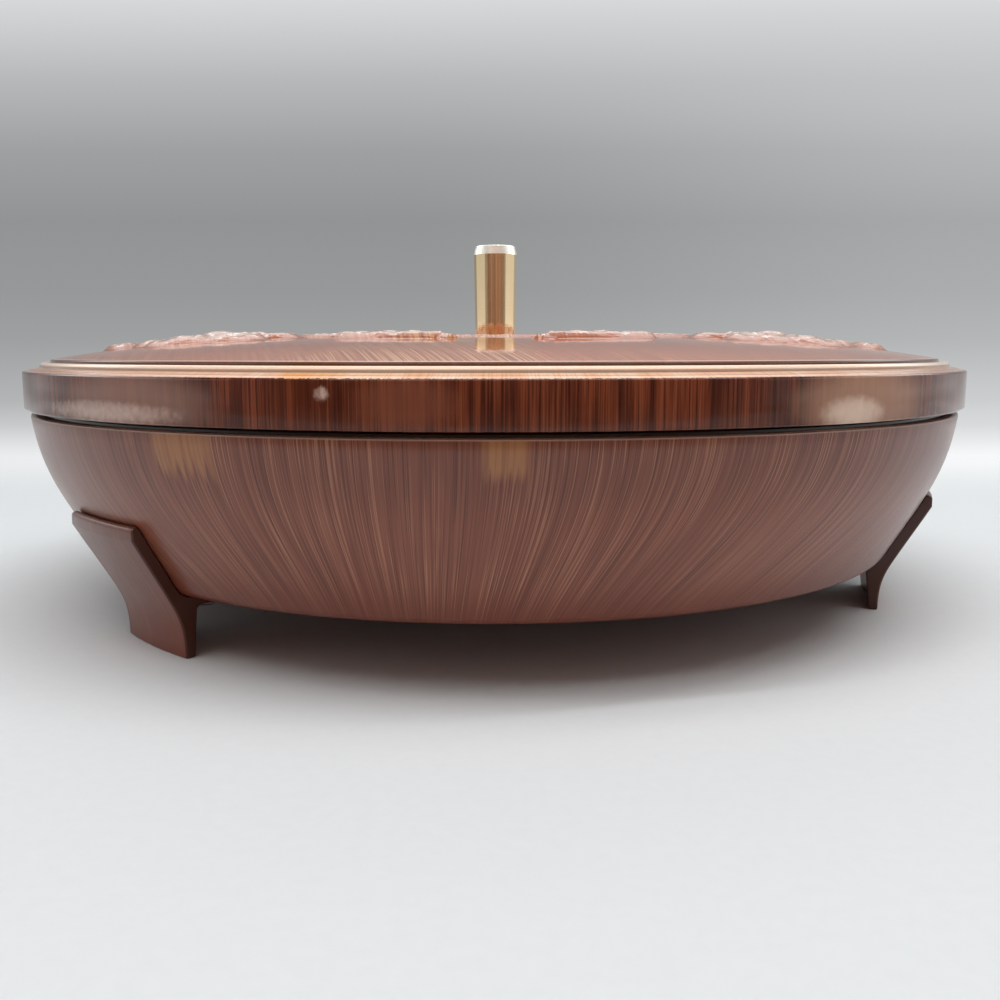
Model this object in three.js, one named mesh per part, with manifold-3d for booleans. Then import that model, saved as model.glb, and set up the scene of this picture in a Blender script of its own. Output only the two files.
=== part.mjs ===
// A round divided serving dish for sweets and dried fruit, with a lid and three feet.
// It is moulded in plastic, painted to look like polished wood, and its knob is gold coloured.
// Lengths are in millimetres and +Z is up. The origin is on the table, under the middle of the dish.
// An azimuth is 0 at the front (-Y) and grows towards +X. A section's points are (radius, height).
import * as THREE from "three";
import { mergeVertices } from "three/addons/utils/BufferGeometryUtils.js";
import Module from "manifold-3d";

const wasm = await Module();
wasm.setup();

const degrees = Math.PI / 180;

// Fineness of the round forms
const turnSteps = 60;
const ringSteps = 30;
const screwSteps = 10;
const footSteps = 3;
const wallSteps = 6;
const cornerSteps = 3;
const crownSteps = 5;

// Clearances
const fitGap = 0.3; // between pieces that follow each other's curved faces
const seatGap = 0.3; // between a piece that lifts out and what it rests on
const screwPlay = 0.3; // round a screw's shank

// Bowl
const bowlRimRadius = 148.5;
const bowlRimHeight = 61.7;
const bowlFlare = 19; // from where the wall's line would meet the underside out to the rim
const bowlBaseHeight = 16.6;
const bowlCornerRadius = 5;
const bowlWall = 2.8;
const bowlWallLean = 29.3 * degrees; // of the lower wall, from upright
const bowlRimLean = 6.8 * degrees; // of the wall at the rim, from upright
const lowerWallPull = 22; // how far the straight lower wall reaches into the curve
const upperWallPull = 18; // how far the steep upper wall reaches into the curve
const bowlRimRound = 0.7;
const ledgeWidth = 3.5; // of the step inside the rim that carries the insert
const ledgeDrop = 1.9; // from the rim down to that step
const ledgeThickness = 2;
const ledgeTaper = 5; // height over which the step thins back to the wall

// Divided insert
const flangePlay = 0.5; // between its flange and the bowl
const flangeThickness = 2.6;
const flangeRound = 0.6;
const insertPlay = 1.4; // between its wall and the bowl
const insertWall = 2.2;
const insertFloor = 2.2;
const insertRaise = 5.6; // from the bowl's floor up to the insert's underside
const insertCornerRadius = 14;
const compartments = 5; // round the middle one
const middleRadius = 38; // of the round compartment in the middle
const dividerThickness = 2; // at the top
const dividerDraft = 1 * degrees;
const dividerRound = 0.4;
const dividerDrop = 5.2; // from the flange's top down to the dividers' top

// Lid
const lidOverhang = 1.5; // beyond the bowl's rim
const lidWall = 2.5;
const skirtHeight = 11;
const skirtRound = 0.7;
const lipWidth = 4.7; // of the sloping ledge round the lid's top
const lipRise = 1;
const beadRadius = 1.1;
const beadLift = 0.3; // of the bead's centre above the lip
const beadTurn = 120 * degrees; // how far the bead's section goes round
const riserHeight = 0.5;
const discInset = 8.2; // from the skirt in to the edge of the domed disc
const discRound = 0.5;
const crownRise = 6.6; // of the domed disc, from its edge to its middle
const crownPower = 4; // how flat the middle of the dome is
const knobSeatMargin = 1;
const washerSeatMargin = 1;
const seatRingInset = 1; // from the flange's edge in to the ring that rests on it
const ringThickness = 2;
const centringPlay = 0.8; // between the centring ring and the insert's mouth
const centringReach = 3.2; // below the seat ring

// Raised flowers and leaves on the lid's dome
const reliefRoot = 1; // how deep each is rooted in the dome
const reliefEdge = 0.2; // height of its upright edge
const flowers = 3;
const flowerDistance = 96; // from the knob's axis
const petals = 6;
const petalNotch = 0.76; // reach of the notches between petals, as a share of the petals' own
const outerPetalReach = 26;
const outerPetalRise = 1.8;
const innerPetalReach = 16;
const innerPetalRise = 2.4;
const budRadius = 6;
const budRise = 3.2;
const leafRise = 1.8;
const leafBend = 0.18; // how far its middle is bent aside, as a share of its width
const outerLeafDistance = 86;
const outerLeafLength = 40;
const outerLeafWidth = 16;
const outerLeafAside = 19 * degrees; // from the line midway between two flowers
const outerLeafHeading = 168 * degrees; // of its tip, from the tangent away from that line, outwards
const innerLeafDistance = 56;
const innerLeafLength = 30;
const innerLeafWidth = 13;
const innerLeafAside = 34 * degrees; // from the same line
const innerLeafHeading = -60 * degrees;
const sprayLeafDistance = 120;
const sprayLeafLength = 42;
const sprayLeafWidth = 14;
const sprayLeafAside = 21 * degrees; // from the line through a flower
const sprayLeafHeading = -4 * degrees;
const plainFront = 60 * degrees; // each side of the front, where there are no spray leaves

// Knob and its screw
const knobTopRadius = 7.15;
const knobFootRadius = 6.9;
const knobFootRound = 0.4;
const knobHeight = 31.3;
const knobBevel = 1.2;
const knobBoreDepth = 12;
const knobScrewRadius = 2;
const knobScrewReach = 10; // into the knob
const knobScrewHeadRadius = 3.8;
const knobScrewHeadHeight = 2.4;
const washerRadius = 5.5;
const washerThickness = 1;

// Feet and the screws that hold them
const footNames = ["foot_front_left", "foot_right", "foot_back"];
const firstFootAzimuth = -46.2 * degrees;
const footSweep = 15.2 * degrees; // the angle that a foot covers round the bowl
const footFloorInset = 0.3; // from the foot of the bowl's wall in to its outer face where it stands
const footSole = 2.7; // thickness where it stands
const footShin = 4; // thickness just under the bowl
const footTongue = 3.2; // thickness of the tongue that runs up the bowl's wall
const footTipHeight = 36.6;
const footTipUpright = 3.4; // height of the upright face at the tongue's tip
const footTipRound = 0.7;
const footShinPull = 8.5; // how far the upright shin reaches into its curve
const footKneePull = 7; // how far the slanting tongue reaches down into that curve
const footTabThickness = 3;
const footTabReach = 13; // of the tab under the bowl, inwards from the foot's back
const footTabFillet = 1.5;
const footScrewInset = 7; // from the foot's back in to its screws
const footScrewSpread = 4.4 * degrees; // each side of the foot's middle
const footScrewRadius = 1.5;
const footScrewLength = 8.8;
const footScrewHeadRadius = 2.9;
const footScrewHeadHeight = 2;
const bossWall = 2;
const bossHeight = 4.8; // above the bowl's floor
const bossRoof = 1.2; // closed plastic above the screw's hole
const driveSlotWidth = 0.8;
const driveSlotDepth = 0.9;
const driveSlotMargin = 1; // from the slot's end to the edge of the screw's head

// Colours and finishes
const paintedWood = { color: 0x5a2416, roughness: 0.22, metalness: 0 };
const insertPlastic = { color: 0x3a1710, roughness: 0.35, metalness: 0 };
const goldPlate = { color: 0xd9ab58, roughness: 0.12, metalness: 1 };
const zincPlate = { color: 0xb9bcc0, roughness: 0.35, metalness: 1 };

// A cut starts and ends this far outside what it cuts, so that it leaves no skin.
const overcut = 1;

const point = (radius, height) => new THREE.Vector2(radius, height);

// A point at a distance and an angle from the origin of a flat outline.
function polar(distance, angle) {
  return point(distance * Math.cos(angle), distance * Math.sin(angle));
}

// A place in space from an azimuth, a radius and a height.
function place(azimuth, radius, height) {
  return new THREE.Vector3(radius * Math.sin(azimuth), -radius * Math.cos(azimuth), height);
}

// Points on a circular arc, both ends included.
function arc(centre, radius, from, to, steps = cornerSteps) {
  const points = [];
  for (let i = 0; i <= steps; i++) {
    const angle = from + ((to - from) * i) / steps;
    points.push(polar(radius, angle).add(centre));
  }
  return points;
}

// An open line of points moved sideways, to its left as it is walked where the distance is positive.
function offsetLine(line, distance) {
  return line.map((p, i) => {
    const before = line[Math.max(i - 1, 0)];
    const after = line[Math.min(i + 1, line.length - 1)];
    const along = after.clone().sub(before).normalize();
    return point(p.x - along.y * distance, p.y + along.x * distance);
  });
}

// The radius at a height of a line of points that rises all the way.
function radiusAt(line, height) {
  const above = line.findIndex((p) => p.y > height);
  const next = above < 0 ? line.length - 1 : Math.max(above, 1);
  const low = line[next - 1];
  const high = line[next];
  const share = THREE.MathUtils.clamp((height - low.y) / (high.y - low.y), 0, 1);
  return low.x + (high.x - low.x) * share;
}

// A solid from a closed geometry. Triangles with no area are dropped, and all faces turned outwards.
function solidFrom(geometry) {
  const bare = new THREE.BufferGeometry();
  bare.setAttribute("position", geometry.getAttribute("position"));
  if (geometry.index) bare.setIndex(geometry.index);
  const merged = mergeVertices(bare, 1e-4);
  const corners = merged.index.array;
  const triangles = [];
  for (let i = 0; i < corners.length; i += 3) {
    const [a, b, c] = corners.subarray(i, i + 3);
    if (a !== b && b !== c && c !== a) triangles.push(a, b, c);
  }
  const vertProperties = merged.getAttribute("position").array;
  const make = () => {
    const triVerts = new Uint32Array(triangles);
    return new wasm.Manifold(new wasm.Mesh({ numProp: 3, vertProperties, triVerts }));
  };
  const solid = make();
  if (solid.volume() > 0) return solid;
  triangles.reverse();
  return make();
}

// A full turn of a section about the Z axis.
function revolve(section, steps = turnSteps) {
  const onAxis = section[0].x === 0;
  const closed = onAxis ? section : [...section, section[0]];
  return solidFrom(new THREE.LatheGeometry(closed, steps).rotateX(Math.PI / 2));
}

// A solid through rings of points, with a cap at each end.
// flatten turns a ring's point into the two coordinates in which its cap is divided into triangles.
function loft(rings, flatten) {
  const size = rings[0].length;
  const index = [];
  for (let ring = 0; ring + 1 < rings.length; ring++) {
    for (let i = 0; i < size; i++) {
      const a = ring * size + i;
      const b = ring * size + ((i + 1) % size);
      index.push(a, b, b + size, a, b + size, a + size);
    }
  }
  const addCap = (ring, isFirst) => {
    const outline = rings[ring].map(flatten);
    const turnedOver = isFirst !== THREE.ShapeUtils.isClockWise(outline);
    for (const triangle of THREE.ShapeUtils.triangulateShape(outline, [])) {
      const corners = triangle.map((i) => i + ring * size);
      index.push(...(turnedOver ? corners.reverse() : corners));
    }
  };
  addCap(0, true);
  addCap(rings.length - 1, false);
  const positions = rings.flat().flatMap((p) => [p.x, p.y, p.z]);
  const geometry = new THREE.BufferGeometry();
  geometry.setAttribute("position", new THREE.Float32BufferAttribute(positions, 3));
  geometry.setIndex(index);
  return solidFrom(geometry);
}

// Part of a turn of a section, between two azimuths.
function sweep(section, from, to, steps) {
  const rings = [];
  for (let i = 0; i <= steps; i++) {
    const azimuth = from + ((to - from) * i) / steps;
    rings.push(section.map((p) => place(azimuth, p.x, p.y)));
  }
  return loft(rings, (p) => point(Math.hypot(p.x, p.y), p.z));
}

// An upright cylinder that stands at a place.
function cylinder(radius, height, at) {
  const geometry = new THREE.CylinderGeometry(radius, radius, height, screwSteps);
  return solidFrom(geometry.rotateX(Math.PI / 2).translate(at.x, at.y, at.z + height / 2));
}

// Radii that the feet and the bowl share
const bowlBaseRadius = bowlRimRadius - bowlFlare;
const footFloorRadius = bowlBaseRadius - footFloorInset;
const footBackRadius = footFloorRadius - footShin;

// The bowl's outer wall, from its underside up to its rim.
function bowlOuterLine() {
  const turn = Math.PI / 2 - bowlWallLean;
  const setBack = bowlCornerRadius * Math.tan(turn / 2);
  const corner = arc(
    point(bowlBaseRadius - setBack, bowlBaseHeight + bowlCornerRadius),
    bowlCornerRadius,
    -Math.PI / 2,
    -bowlWallLean,
  );
  const low = corner[cornerSteps];
  const high = point(bowlRimRadius, bowlRimHeight);
  const alongWall = polar(lowerWallPull, Math.PI / 2 - bowlWallLean);
  const alongRim = polar(upperWallPull, Math.PI / 2 - bowlRimLean);
  const wall = new THREE.CubicBezierCurve(
    low,
    low.clone().add(alongWall),
    high.clone().sub(alongRim),
    high,
  );
  return [...corner, ...wall.getPoints(wallSteps).slice(1)];
}

// Lines and levels that the pieces share
const outerLine = bowlOuterLine();
const innerLine = offsetLine(outerLine, bowlWall);
const bowlFloorHeight = bowlBaseHeight + bowlWall;
const bowlMouthRadius = radiusAt(innerLine, bowlRimHeight);
const ledgeHeight = bowlRimHeight - ledgeDrop;
const ledgeRadius = bowlMouthRadius - ledgeWidth;
const flangeRadius = bowlMouthRadius - flangePlay;
const flangeBottom = ledgeHeight + seatGap;
const flangeTop = flangeBottom + flangeThickness;
const dividersTop = flangeTop - dividerDrop;
const insertBottom = bowlFloorHeight + insertRaise;
const pocketBottom = insertBottom + insertFloor;
const pocketCorner = insertCornerRadius - insertWall;
const lidRadius = bowlRimRadius + lidOverhang;
const lidBottom = flangeTop + seatGap;
const skirtTop = lidBottom + skirtHeight;
const lipTop = skirtTop + lipRise;
const beadCentre = point(lidRadius - lipWidth - beadRadius, lipTop + beadLift);
const discRadius = lidRadius - discInset;
const discTop = beadCentre.y + beadRadius * Math.sin(beadTurn) + riserHeight + discRound;
const crownTop = discTop + crownRise;
const crownUnderside = crownTop - lidWall;
const knobTop = crownTop + knobHeight;
const footTabBottom = bowlBaseHeight - footTabThickness;

// The azimuth of the middle of a foot. The feet share the turn evenly.
function footAzimuth(foot) {
  return firstFootAzimuth + (foot * 2 * Math.PI) / footNames.length;
}

// Where a foot's screws stand, at a height.
function footScrewPlaces(foot, height) {
  return [-footScrewSpread, footScrewSpread].map((aside) =>
    place(footAzimuth(foot) + aside, footBackRadius - footScrewInset, height),
  );
}

// A shell of one thickness, with a step for the insert inside its rim and bosses for the screws.
function makeBowl() {
  const ledgeUnderside = ledgeHeight - ledgeThickness;
  const taperFoot = ledgeUnderside - ledgeTaper;
  const inside = innerLine.filter((p) => p.y > bowlFloorHeight && p.y < taperFoot).reverse();
  const section = [
    point(0, bowlBaseHeight),
    ...outerLine.slice(0, -1),
    point(bowlRimRadius, bowlRimHeight - bowlRimRound),
    point(bowlRimRadius - bowlRimRound, bowlRimHeight),
    point(bowlMouthRadius, bowlRimHeight),
    point(bowlMouthRadius, ledgeHeight),
    point(ledgeRadius, ledgeHeight),
    point(ledgeRadius, ledgeUnderside),
    point(radiusAt(innerLine, taperFoot), taperFoot),
    ...inside,
    point(radiusAt(innerLine, bowlFloorHeight), bowlFloorHeight),
    point(0, bowlFloorHeight),
  ];
  let bowl = revolve(section);
  const holeRadius = footScrewRadius + screwPlay;
  const holeDepth = bowlWall + bossHeight - bossRoof;
  footNames.forEach((name, foot) => {
    for (const at of footScrewPlaces(foot, bowlFloorHeight - overcut)) {
      bowl = bowl.add(cylinder(holeRadius + bossWall, bossHeight + overcut, at));
    }
    for (const at of footScrewPlaces(foot, bowlBaseHeight - overcut)) {
      bowl = bowl.subtract(cylinder(holeRadius, holeDepth + overcut, at));
    }
  });
  return bowl;
}

// How far a rounded floor corner draws a wall in, at a height above that floor.
function cornerInset(radius, above) {
  const reach = radius - THREE.MathUtils.clamp(above, 0, radius);
  return radius - Math.sqrt(radius * radius - reach * reach);
}

// Heights to draw a wall at: evenly round the rounded corner at its floor, then straight to its top.
function wallHeights(bottom, corner, top) {
  const round = arc(point(0, bottom + corner), corner, -Math.PI / 2, 0, cornerSteps + 1);
  return [...round.map((p) => p.y), (bottom + corner + top) / 2, top];
}

// The insert's wall keeps its distance from the bowl, and passes through the bowl's step.
function insertWallRadius(height) {
  return Math.min(ledgeRadius, radiusAt(innerLine, height)) - insertPlay;
}

// The radius of the inside of the insert's wall.
function pocketRadius(height) {
  const rounding = cornerInset(pocketCorner, height - pocketBottom);
  return insertWallRadius(height) - insertWall - rounding;
}

// How much further each face of a divider stands out at a height than at its top.
function draftAt(height) {
  return Math.tan(dividerDraft) * (dividersTop - height);
}

// A round tray with a flange that hangs on the bowl's step.
function makeTray() {
  const outside = wallHeights(insertBottom, insertCornerRadius, flangeBottom).map((height) => {
    const rounding = cornerInset(insertCornerRadius, height - insertBottom);
    return point(insertWallRadius(height) - rounding, height);
  });
  const inside = wallHeights(pocketBottom, pocketCorner, dividersTop)
    .map((height) => point(pocketRadius(height), height))
    .reverse();
  const mouth = pocketRadius(flangeTop);
  return revolve([
    point(0, insertBottom),
    ...outside,
    point(flangeRadius, flangeBottom),
    point(flangeRadius, flangeTop - flangeRound),
    point(flangeRadius - flangeRound, flangeTop),
    point(mouth + flangeRound, flangeTop),
    point(mouth, flangeTop - flangeRound),
    ...inside,
    point(0, pocketBottom),
  ]);
}

// The round wall that stands on the tray's floor, with the middle compartment inside it.
function makeMiddleRing() {
  const draft = draftAt(pocketBottom);
  const outer = middleRadius + dividerThickness;
  const section = [
    point(middleRadius - draft, pocketBottom),
    point(outer + draft, pocketBottom),
    point(outer, dividersTop - dividerRound),
    point(outer - dividerRound, dividersTop),
    point(middleRadius + dividerRound, dividersTop),
    point(middleRadius, dividersTop - dividerRound),
  ];
  return revolve(section, ringSteps);
}

// A straight wall from the middle ring to the tray's wall, whose outer end follows the tray.
function makeDivider(number) {
  const azimuth = ((number + 0.5) * 2 * Math.PI) / compartments;
  const along = place(azimuth, 1, 0);
  const aside = place(azimuth + Math.PI / 2, 1, 0);
  const slice = (height, bevel) => {
    const inner = middleRadius + dividerThickness + draftAt(height) + fitGap;
    const outer = pocketRadius(height) - fitGap;
    const half = dividerThickness / 2 + draftAt(height) - bevel;
    const corners = [point(inner, -half), point(outer, -half), point(outer, half), point(inner, half)];
    return corners.map((p) => new THREE.Vector3(0, 0, height)
      .addScaledVector(along, p.x)
      .addScaledVector(aside, p.y));
  };
  const heights = wallHeights(pocketBottom, pocketCorner, dividersTop - dividerRound);
  const slices = heights.map((height) => slice(height, 0));
  return loft([...slices, slice(dividersTop, dividerRound)], (p) => point(p.x, p.y));
}

// The dome's height at a radius.
function crownHeight(radius) {
  return discTop + crownRise * (1 - Math.pow(radius / discRadius, crownPower));
}

// Points of the dome from one radius to another, lowered by a distance.
function crownLine(from, to, steps, lowered = 0) {
  const line = [];
  for (let i = 0; i <= steps; i++) {
    const radius = from + ((to - from) * i) / steps;
    line.push(point(radius, crownHeight(radius) - lowered));
  }
  return line;
}

// A raised form on the dome, from its outline in plan, which draws in to its middle as it rises.
function embossed(outline, middle, rise, taper) {
  const ring = (share, lift) =>
    outline.map((p) => {
      const q = p.clone().sub(middle).multiplyScalar(share).add(middle);
      return new THREE.Vector3(q.x, q.y, crownHeight(q.length()) + lift);
    });
  const rings = [ring(1, -reliefRoot), ring(1, reliefEdge), ring(taper, rise)];
  return loft(rings, (p) => point(p.x, p.y));
}

// A flower of two rows of pointed petals round a bud.
function makeFlower(azimuth) {
  const { x, y } = place(azimuth, flowerDistance, 0);
  const middle = point(x, y);
  const star = (reach, notch, turn) => {
    const outline = [];
    for (let i = 0; i < 2 * petals; i++) {
      const angle = azimuth + turn + (i * Math.PI) / petals;
      outline.push(polar(i % 2 === 0 ? reach : reach * notch, angle).add(middle));
    }
    return outline;
  };
  const outer = star(outerPetalReach, petalNotch, 0);
  const inner = star(innerPetalReach, petalNotch, Math.PI / petals);
  return embossed(outer, middle, outerPetalRise, 0.86)
    .add(embossed(inner, middle, innerPetalRise, 0.8))
    .add(embossed(star(budRadius, 1, 0), middle, budRise, 0.7));
}

// A bent leaf on one side of a line at an azimuth. On the other side it is the mirror image.
function makeLeaf(line, side, aside, distance, length, width, heading) {
  const azimuth = line + side * aside;
  const outwards = place(azimuth, 1, 0);
  const tangent = place(azimuth + (side * Math.PI) / 2, 1, 0);
  const at = (along, across) => {
    const towardsTip = along * Math.cos(heading) - across * Math.sin(heading);
    const fromAxis = distance + along * Math.sin(heading) + across * Math.cos(heading);
    return point(
      tangent.x * towardsTip + outwards.x * fromAxis,
      tangent.y * towardsTip + outwards.y * fromAxis,
    );
  };
  const edge = (share, whichEdge) => {
    const fullness = 1 - share * share;
    const half = (width / 2) * fullness * (1 - 0.3 * share);
    return at((share * length) / 2, leafBend * width * fullness + whichEdge * half);
  };
  const stations = [-0.6, 0, 0.6];
  const outline = [
    edge(-1, 1),
    ...stations.map((share) => edge(share, 1)),
    edge(1, 1),
    ...stations.toReversed().map((share) => edge(share, -1)),
  ];
  return embossed(outline, at(0, leafBend * width), leafRise, 0.7);
}

// The flowers, a pair of outer and of inner leaves between each two, and spray leaves beside them.
function makeRelief() {
  const pieces = [];
  for (let flower = 0; flower < flowers; flower++) {
    const line = ((flower + 0.5) * 2 * Math.PI) / flowers;
    const between = line + Math.PI / flowers;
    pieces.push(makeFlower(line));
    for (const side of [-1, 1]) {
      pieces.push(
        makeLeaf(
          between,
          side,
          outerLeafAside,
          outerLeafDistance,
          outerLeafLength,
          outerLeafWidth,
          outerLeafHeading,
        ),
        makeLeaf(
          between,
          side,
          innerLeafAside,
          innerLeafDistance,
          innerLeafLength,
          innerLeafWidth,
          innerLeafHeading,
        ),
      );
      const inFront = Math.cos(line + side * sprayLeafAside) > Math.cos(plainFront);
      if (inFront) continue;
      pieces.push(
        makeLeaf(
          line,
          side,
          sprayLeafAside,
          sprayLeafDistance,
          sprayLeafLength,
          sprayLeafWidth,
          sprayLeafHeading,
        ),
      );
    }
  }
  return pieces.reduce((whole, next) => whole.add(next));
}

// A skirt, a sloping lip, a bead and a domed disc with raised flowers and leaves. Below, one ring
// rests on the insert's flange and another reaches into its mouth and keeps the lid in the middle.
function makeLid() {
  const bead = arc(beadCentre, beadRadius, 0, beadTurn);
  const lipUnderside = skirtTop - lidWall;
  const discUnderside = discTop - lidWall;
  const seatOuter = flangeRadius - seatRingInset;
  const centringOuter = pocketRadius(flangeTop) - centringPlay;
  const centringInner = centringOuter - ringThickness;
  const hole = knobScrewRadius + screwPlay;
  const knobSeat = knobFootRadius + knobSeatMargin;
  const washerSeat = washerRadius + washerSeatMargin;
  const lid = revolve([
    point(lidRadius - lidWall, lidBottom),
    point(lidRadius - skirtRound, lidBottom),
    point(lidRadius, lidBottom + skirtRound),
    point(lidRadius, skirtTop - skirtRound),
    point(lidRadius - skirtRound, skirtTop),
    point(lidRadius - lipWidth, lipTop),
    ...bead,
    point(discRadius + discRound, bead[cornerSteps].y),
    point(discRadius + discRound, discTop - discRound),
    ...crownLine(discRadius, knobSeat, crownSteps).slice(0, -1),
    point(knobSeat, crownTop),
    point(hole, crownTop),
    point(hole, crownUnderside),
    point(washerSeat, crownUnderside),
    ...crownLine(washerSeat, centringInner, crownSteps - 1, lidWall).slice(1),
    point(centringInner, lidBottom - centringReach),
    point(centringOuter, lidBottom - centringReach),
    point(centringOuter, discUnderside),
    point(seatOuter - ringThickness, discUnderside),
    point(seatOuter - ringThickness, lidBottom),
    point(seatOuter, lidBottom),
    point(seatOuter, lipUnderside),
    point(lidRadius - lidWall, lipUnderside),
  ]);
  return lid.add(makeRelief());
}

// A turned knob with a bevelled top, bored from below for its screw.
function makeKnob() {
  const knob = revolve(
    [
      point(0, crownTop),
      point(knobFootRadius - knobFootRound, crownTop),
      point(knobFootRadius, crownTop + knobFootRound),
      point(knobTopRadius, knobTop - knobBevel),
      point(knobTopRadius - knobBevel, knobTop),
      point(0, knobTop),
    ],
    ringSteps,
  );
  const boreRadius = knobScrewRadius + screwPlay;
  const boreBottom = place(0, 0, crownTop - overcut);
  return knob.subtract(cylinder(boreRadius, knobBoreDepth + overcut, boreBottom));
}

function makeKnobWasher() {
  const hole = knobScrewRadius + screwPlay;
  const bottom = crownUnderside - washerThickness;
  const section = [
    point(hole, bottom),
    point(washerRadius, bottom),
    point(washerRadius, crownUnderside),
    point(hole, crownUnderside),
  ];
  return revolve(section, ringSteps);
}

// A screw that points up, with a cross recess in its head. Its head's bearing face is at a place.
function makeScrew(at, shankRadius, shankLength, headRadius, headHeight) {
  const headRound = headHeight / 2;
  const tipBevel = shankRadius / 2;
  const section = [
    point(0, -headHeight),
    point(headRadius - headRound, -headHeight),
    point(headRadius, -headRound),
    point(headRadius, 0),
    point(shankRadius, 0),
    point(shankRadius, shankLength - tipBevel),
    point(shankRadius - tipBevel, shankLength),
    point(0, shankLength),
  ];
  const slot = new THREE.BoxGeometry(
    2 * (headRadius - driveSlotMargin),
    driveSlotWidth,
    2 * driveSlotDepth,
  ).translate(0, 0, -headHeight);
  const crossSlot = slot.clone().rotateZ(Math.PI / 2);
  return revolve(section, screwSteps)
    .subtract(solidFrom(slot).add(solidFrom(crossSlot)))
    .translate([at.x, at.y, at.z]);
}

function makeKnobScrew() {
  const seat = place(0, 0, crownUnderside - washerThickness);
  const length = washerThickness + lidWall + knobScrewReach;
  return makeScrew(seat, knobScrewRadius, length, knobScrewHeadRadius, knobScrewHeadHeight);
}

function makeFootScrew(at) {
  return makeScrew(
    at,
    footScrewRadius,
    footScrewLength,
    footScrewHeadRadius,
    footScrewHeadHeight,
  );
}

// A foot's section: a shin, a knee under the bowl's edge, a tongue up its wall, and a tab under it.
function footSection() {
  const face = offsetLine(outerLine, -fitGap - footTongue);
  const back = offsetLine(outerLine, -fitGap);
  const knee = face[cornerSteps];
  const shin = new THREE.CubicBezierCurve(
    point(footFloorRadius, 0),
    point(footFloorRadius, footShinPull),
    knee.clone().sub(polar(footKneePull, Math.PI / 2 - bowlWallLean)),
    knee,
  ).getPoints(wallSteps);
  const faceTop = footTipHeight - footTipUpright;
  const tipRadius = radiusAt(face, faceTop);
  const tongue = face.slice(cornerSteps + 1).filter((p) => p.y < faceTop);
  const seat = back.filter((p) => p.y < footTipHeight).reverse();
  const fillet = arc(
    point(footBackRadius - footTabFillet, footTabBottom - footTabFillet),
    footTabFillet,
    Math.PI / 2,
    0,
  );
  return [
    ...shin,
    ...tongue,
    point(tipRadius, faceTop),
    point(tipRadius, footTipHeight - footTipRound),
    point(tipRadius - footTipRound, footTipHeight),
    point(radiusAt(back, footTipHeight), footTipHeight),
    ...seat,
    point(back[0].x - fitGap, bowlBaseHeight),
    point(footBackRadius - footTabReach, bowlBaseHeight),
    point(footBackRadius - footTabReach, footTabBottom),
    ...fillet,
    point(footFloorRadius - footSole, 0),
  ];
}

function makeFoot(foot) {
  const middle = footAzimuth(foot);
  const whole = sweep(footSection(), middle - footSweep / 2, middle + footSweep / 2, footSteps);
  const depth = footTabThickness + 2 * overcut;
  return footScrewPlaces(foot, footTabBottom - overcut).reduce(
    (solid, at) => solid.subtract(cylinder(footScrewRadius + screwPlay, depth, at)),
    whole,
  );
}

// A named mesh from a solid.
function piece(name, solid, finish) {
  const { vertProperties, triVerts } = solid.getMesh();
  const geometry = new THREE.BufferGeometry();
  geometry.setAttribute("position", new THREE.BufferAttribute(vertProperties, 3));
  geometry.setIndex(new THREE.BufferAttribute(triVerts, 1));
  geometry.computeVertexNormals();
  const mesh = new THREE.Mesh(geometry, new THREE.MeshStandardMaterial(finish));
  mesh.name = name;
  return mesh;
}

const dish = new THREE.Group();
dish.add(piece("bowl", makeBowl(), paintedWood));
footNames.forEach((name, foot) => {
  dish.add(piece(name, makeFoot(foot), paintedWood));
  footScrewPlaces(foot, footTabBottom).forEach((at, number) => {
    dish.add(piece(`${name}_screw_${number + 1}`, makeFootScrew(at), zincPlate));
  });
});
dish.add(piece("insert_tray", makeTray(), insertPlastic));
dish.add(piece("insert_middle_ring", makeMiddleRing(), insertPlastic));
for (let number = 0; number < compartments; number++) {
  dish.add(piece(`insert_divider_${number + 1}`, makeDivider(number), insertPlastic));
}
dish.add(piece("lid", makeLid(), paintedWood));
dish.add(piece("knob", makeKnob(), goldPlate));
dish.add(piece("knob_washer", makeKnobWasher(), zincPlate));
dish.add(piece("knob_screw", makeKnobScrew(), zincPlate));

export default dish;
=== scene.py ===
import math

import bmesh
import bpy
import numpy as np
from mathutils import Matrix, Vector


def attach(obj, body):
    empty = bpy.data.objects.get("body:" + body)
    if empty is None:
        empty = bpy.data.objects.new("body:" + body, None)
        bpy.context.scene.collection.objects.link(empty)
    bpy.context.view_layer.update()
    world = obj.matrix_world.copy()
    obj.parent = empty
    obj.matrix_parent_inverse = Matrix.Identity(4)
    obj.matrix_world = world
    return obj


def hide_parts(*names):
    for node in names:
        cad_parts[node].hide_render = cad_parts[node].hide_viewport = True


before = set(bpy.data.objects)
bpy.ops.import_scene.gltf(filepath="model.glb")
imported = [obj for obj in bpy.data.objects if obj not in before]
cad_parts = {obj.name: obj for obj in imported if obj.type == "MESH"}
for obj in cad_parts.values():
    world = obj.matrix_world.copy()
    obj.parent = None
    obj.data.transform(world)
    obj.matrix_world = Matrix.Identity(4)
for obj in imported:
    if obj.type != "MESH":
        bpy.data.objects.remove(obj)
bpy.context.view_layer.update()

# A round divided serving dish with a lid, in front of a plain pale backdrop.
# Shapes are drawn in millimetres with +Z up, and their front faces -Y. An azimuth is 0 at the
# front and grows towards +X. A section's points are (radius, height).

MM = 0.001
DEGREES = math.pi / 180
SHARP = 40 * DEGREES  # an edge whose faces turn by more than this is shown sharp

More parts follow.
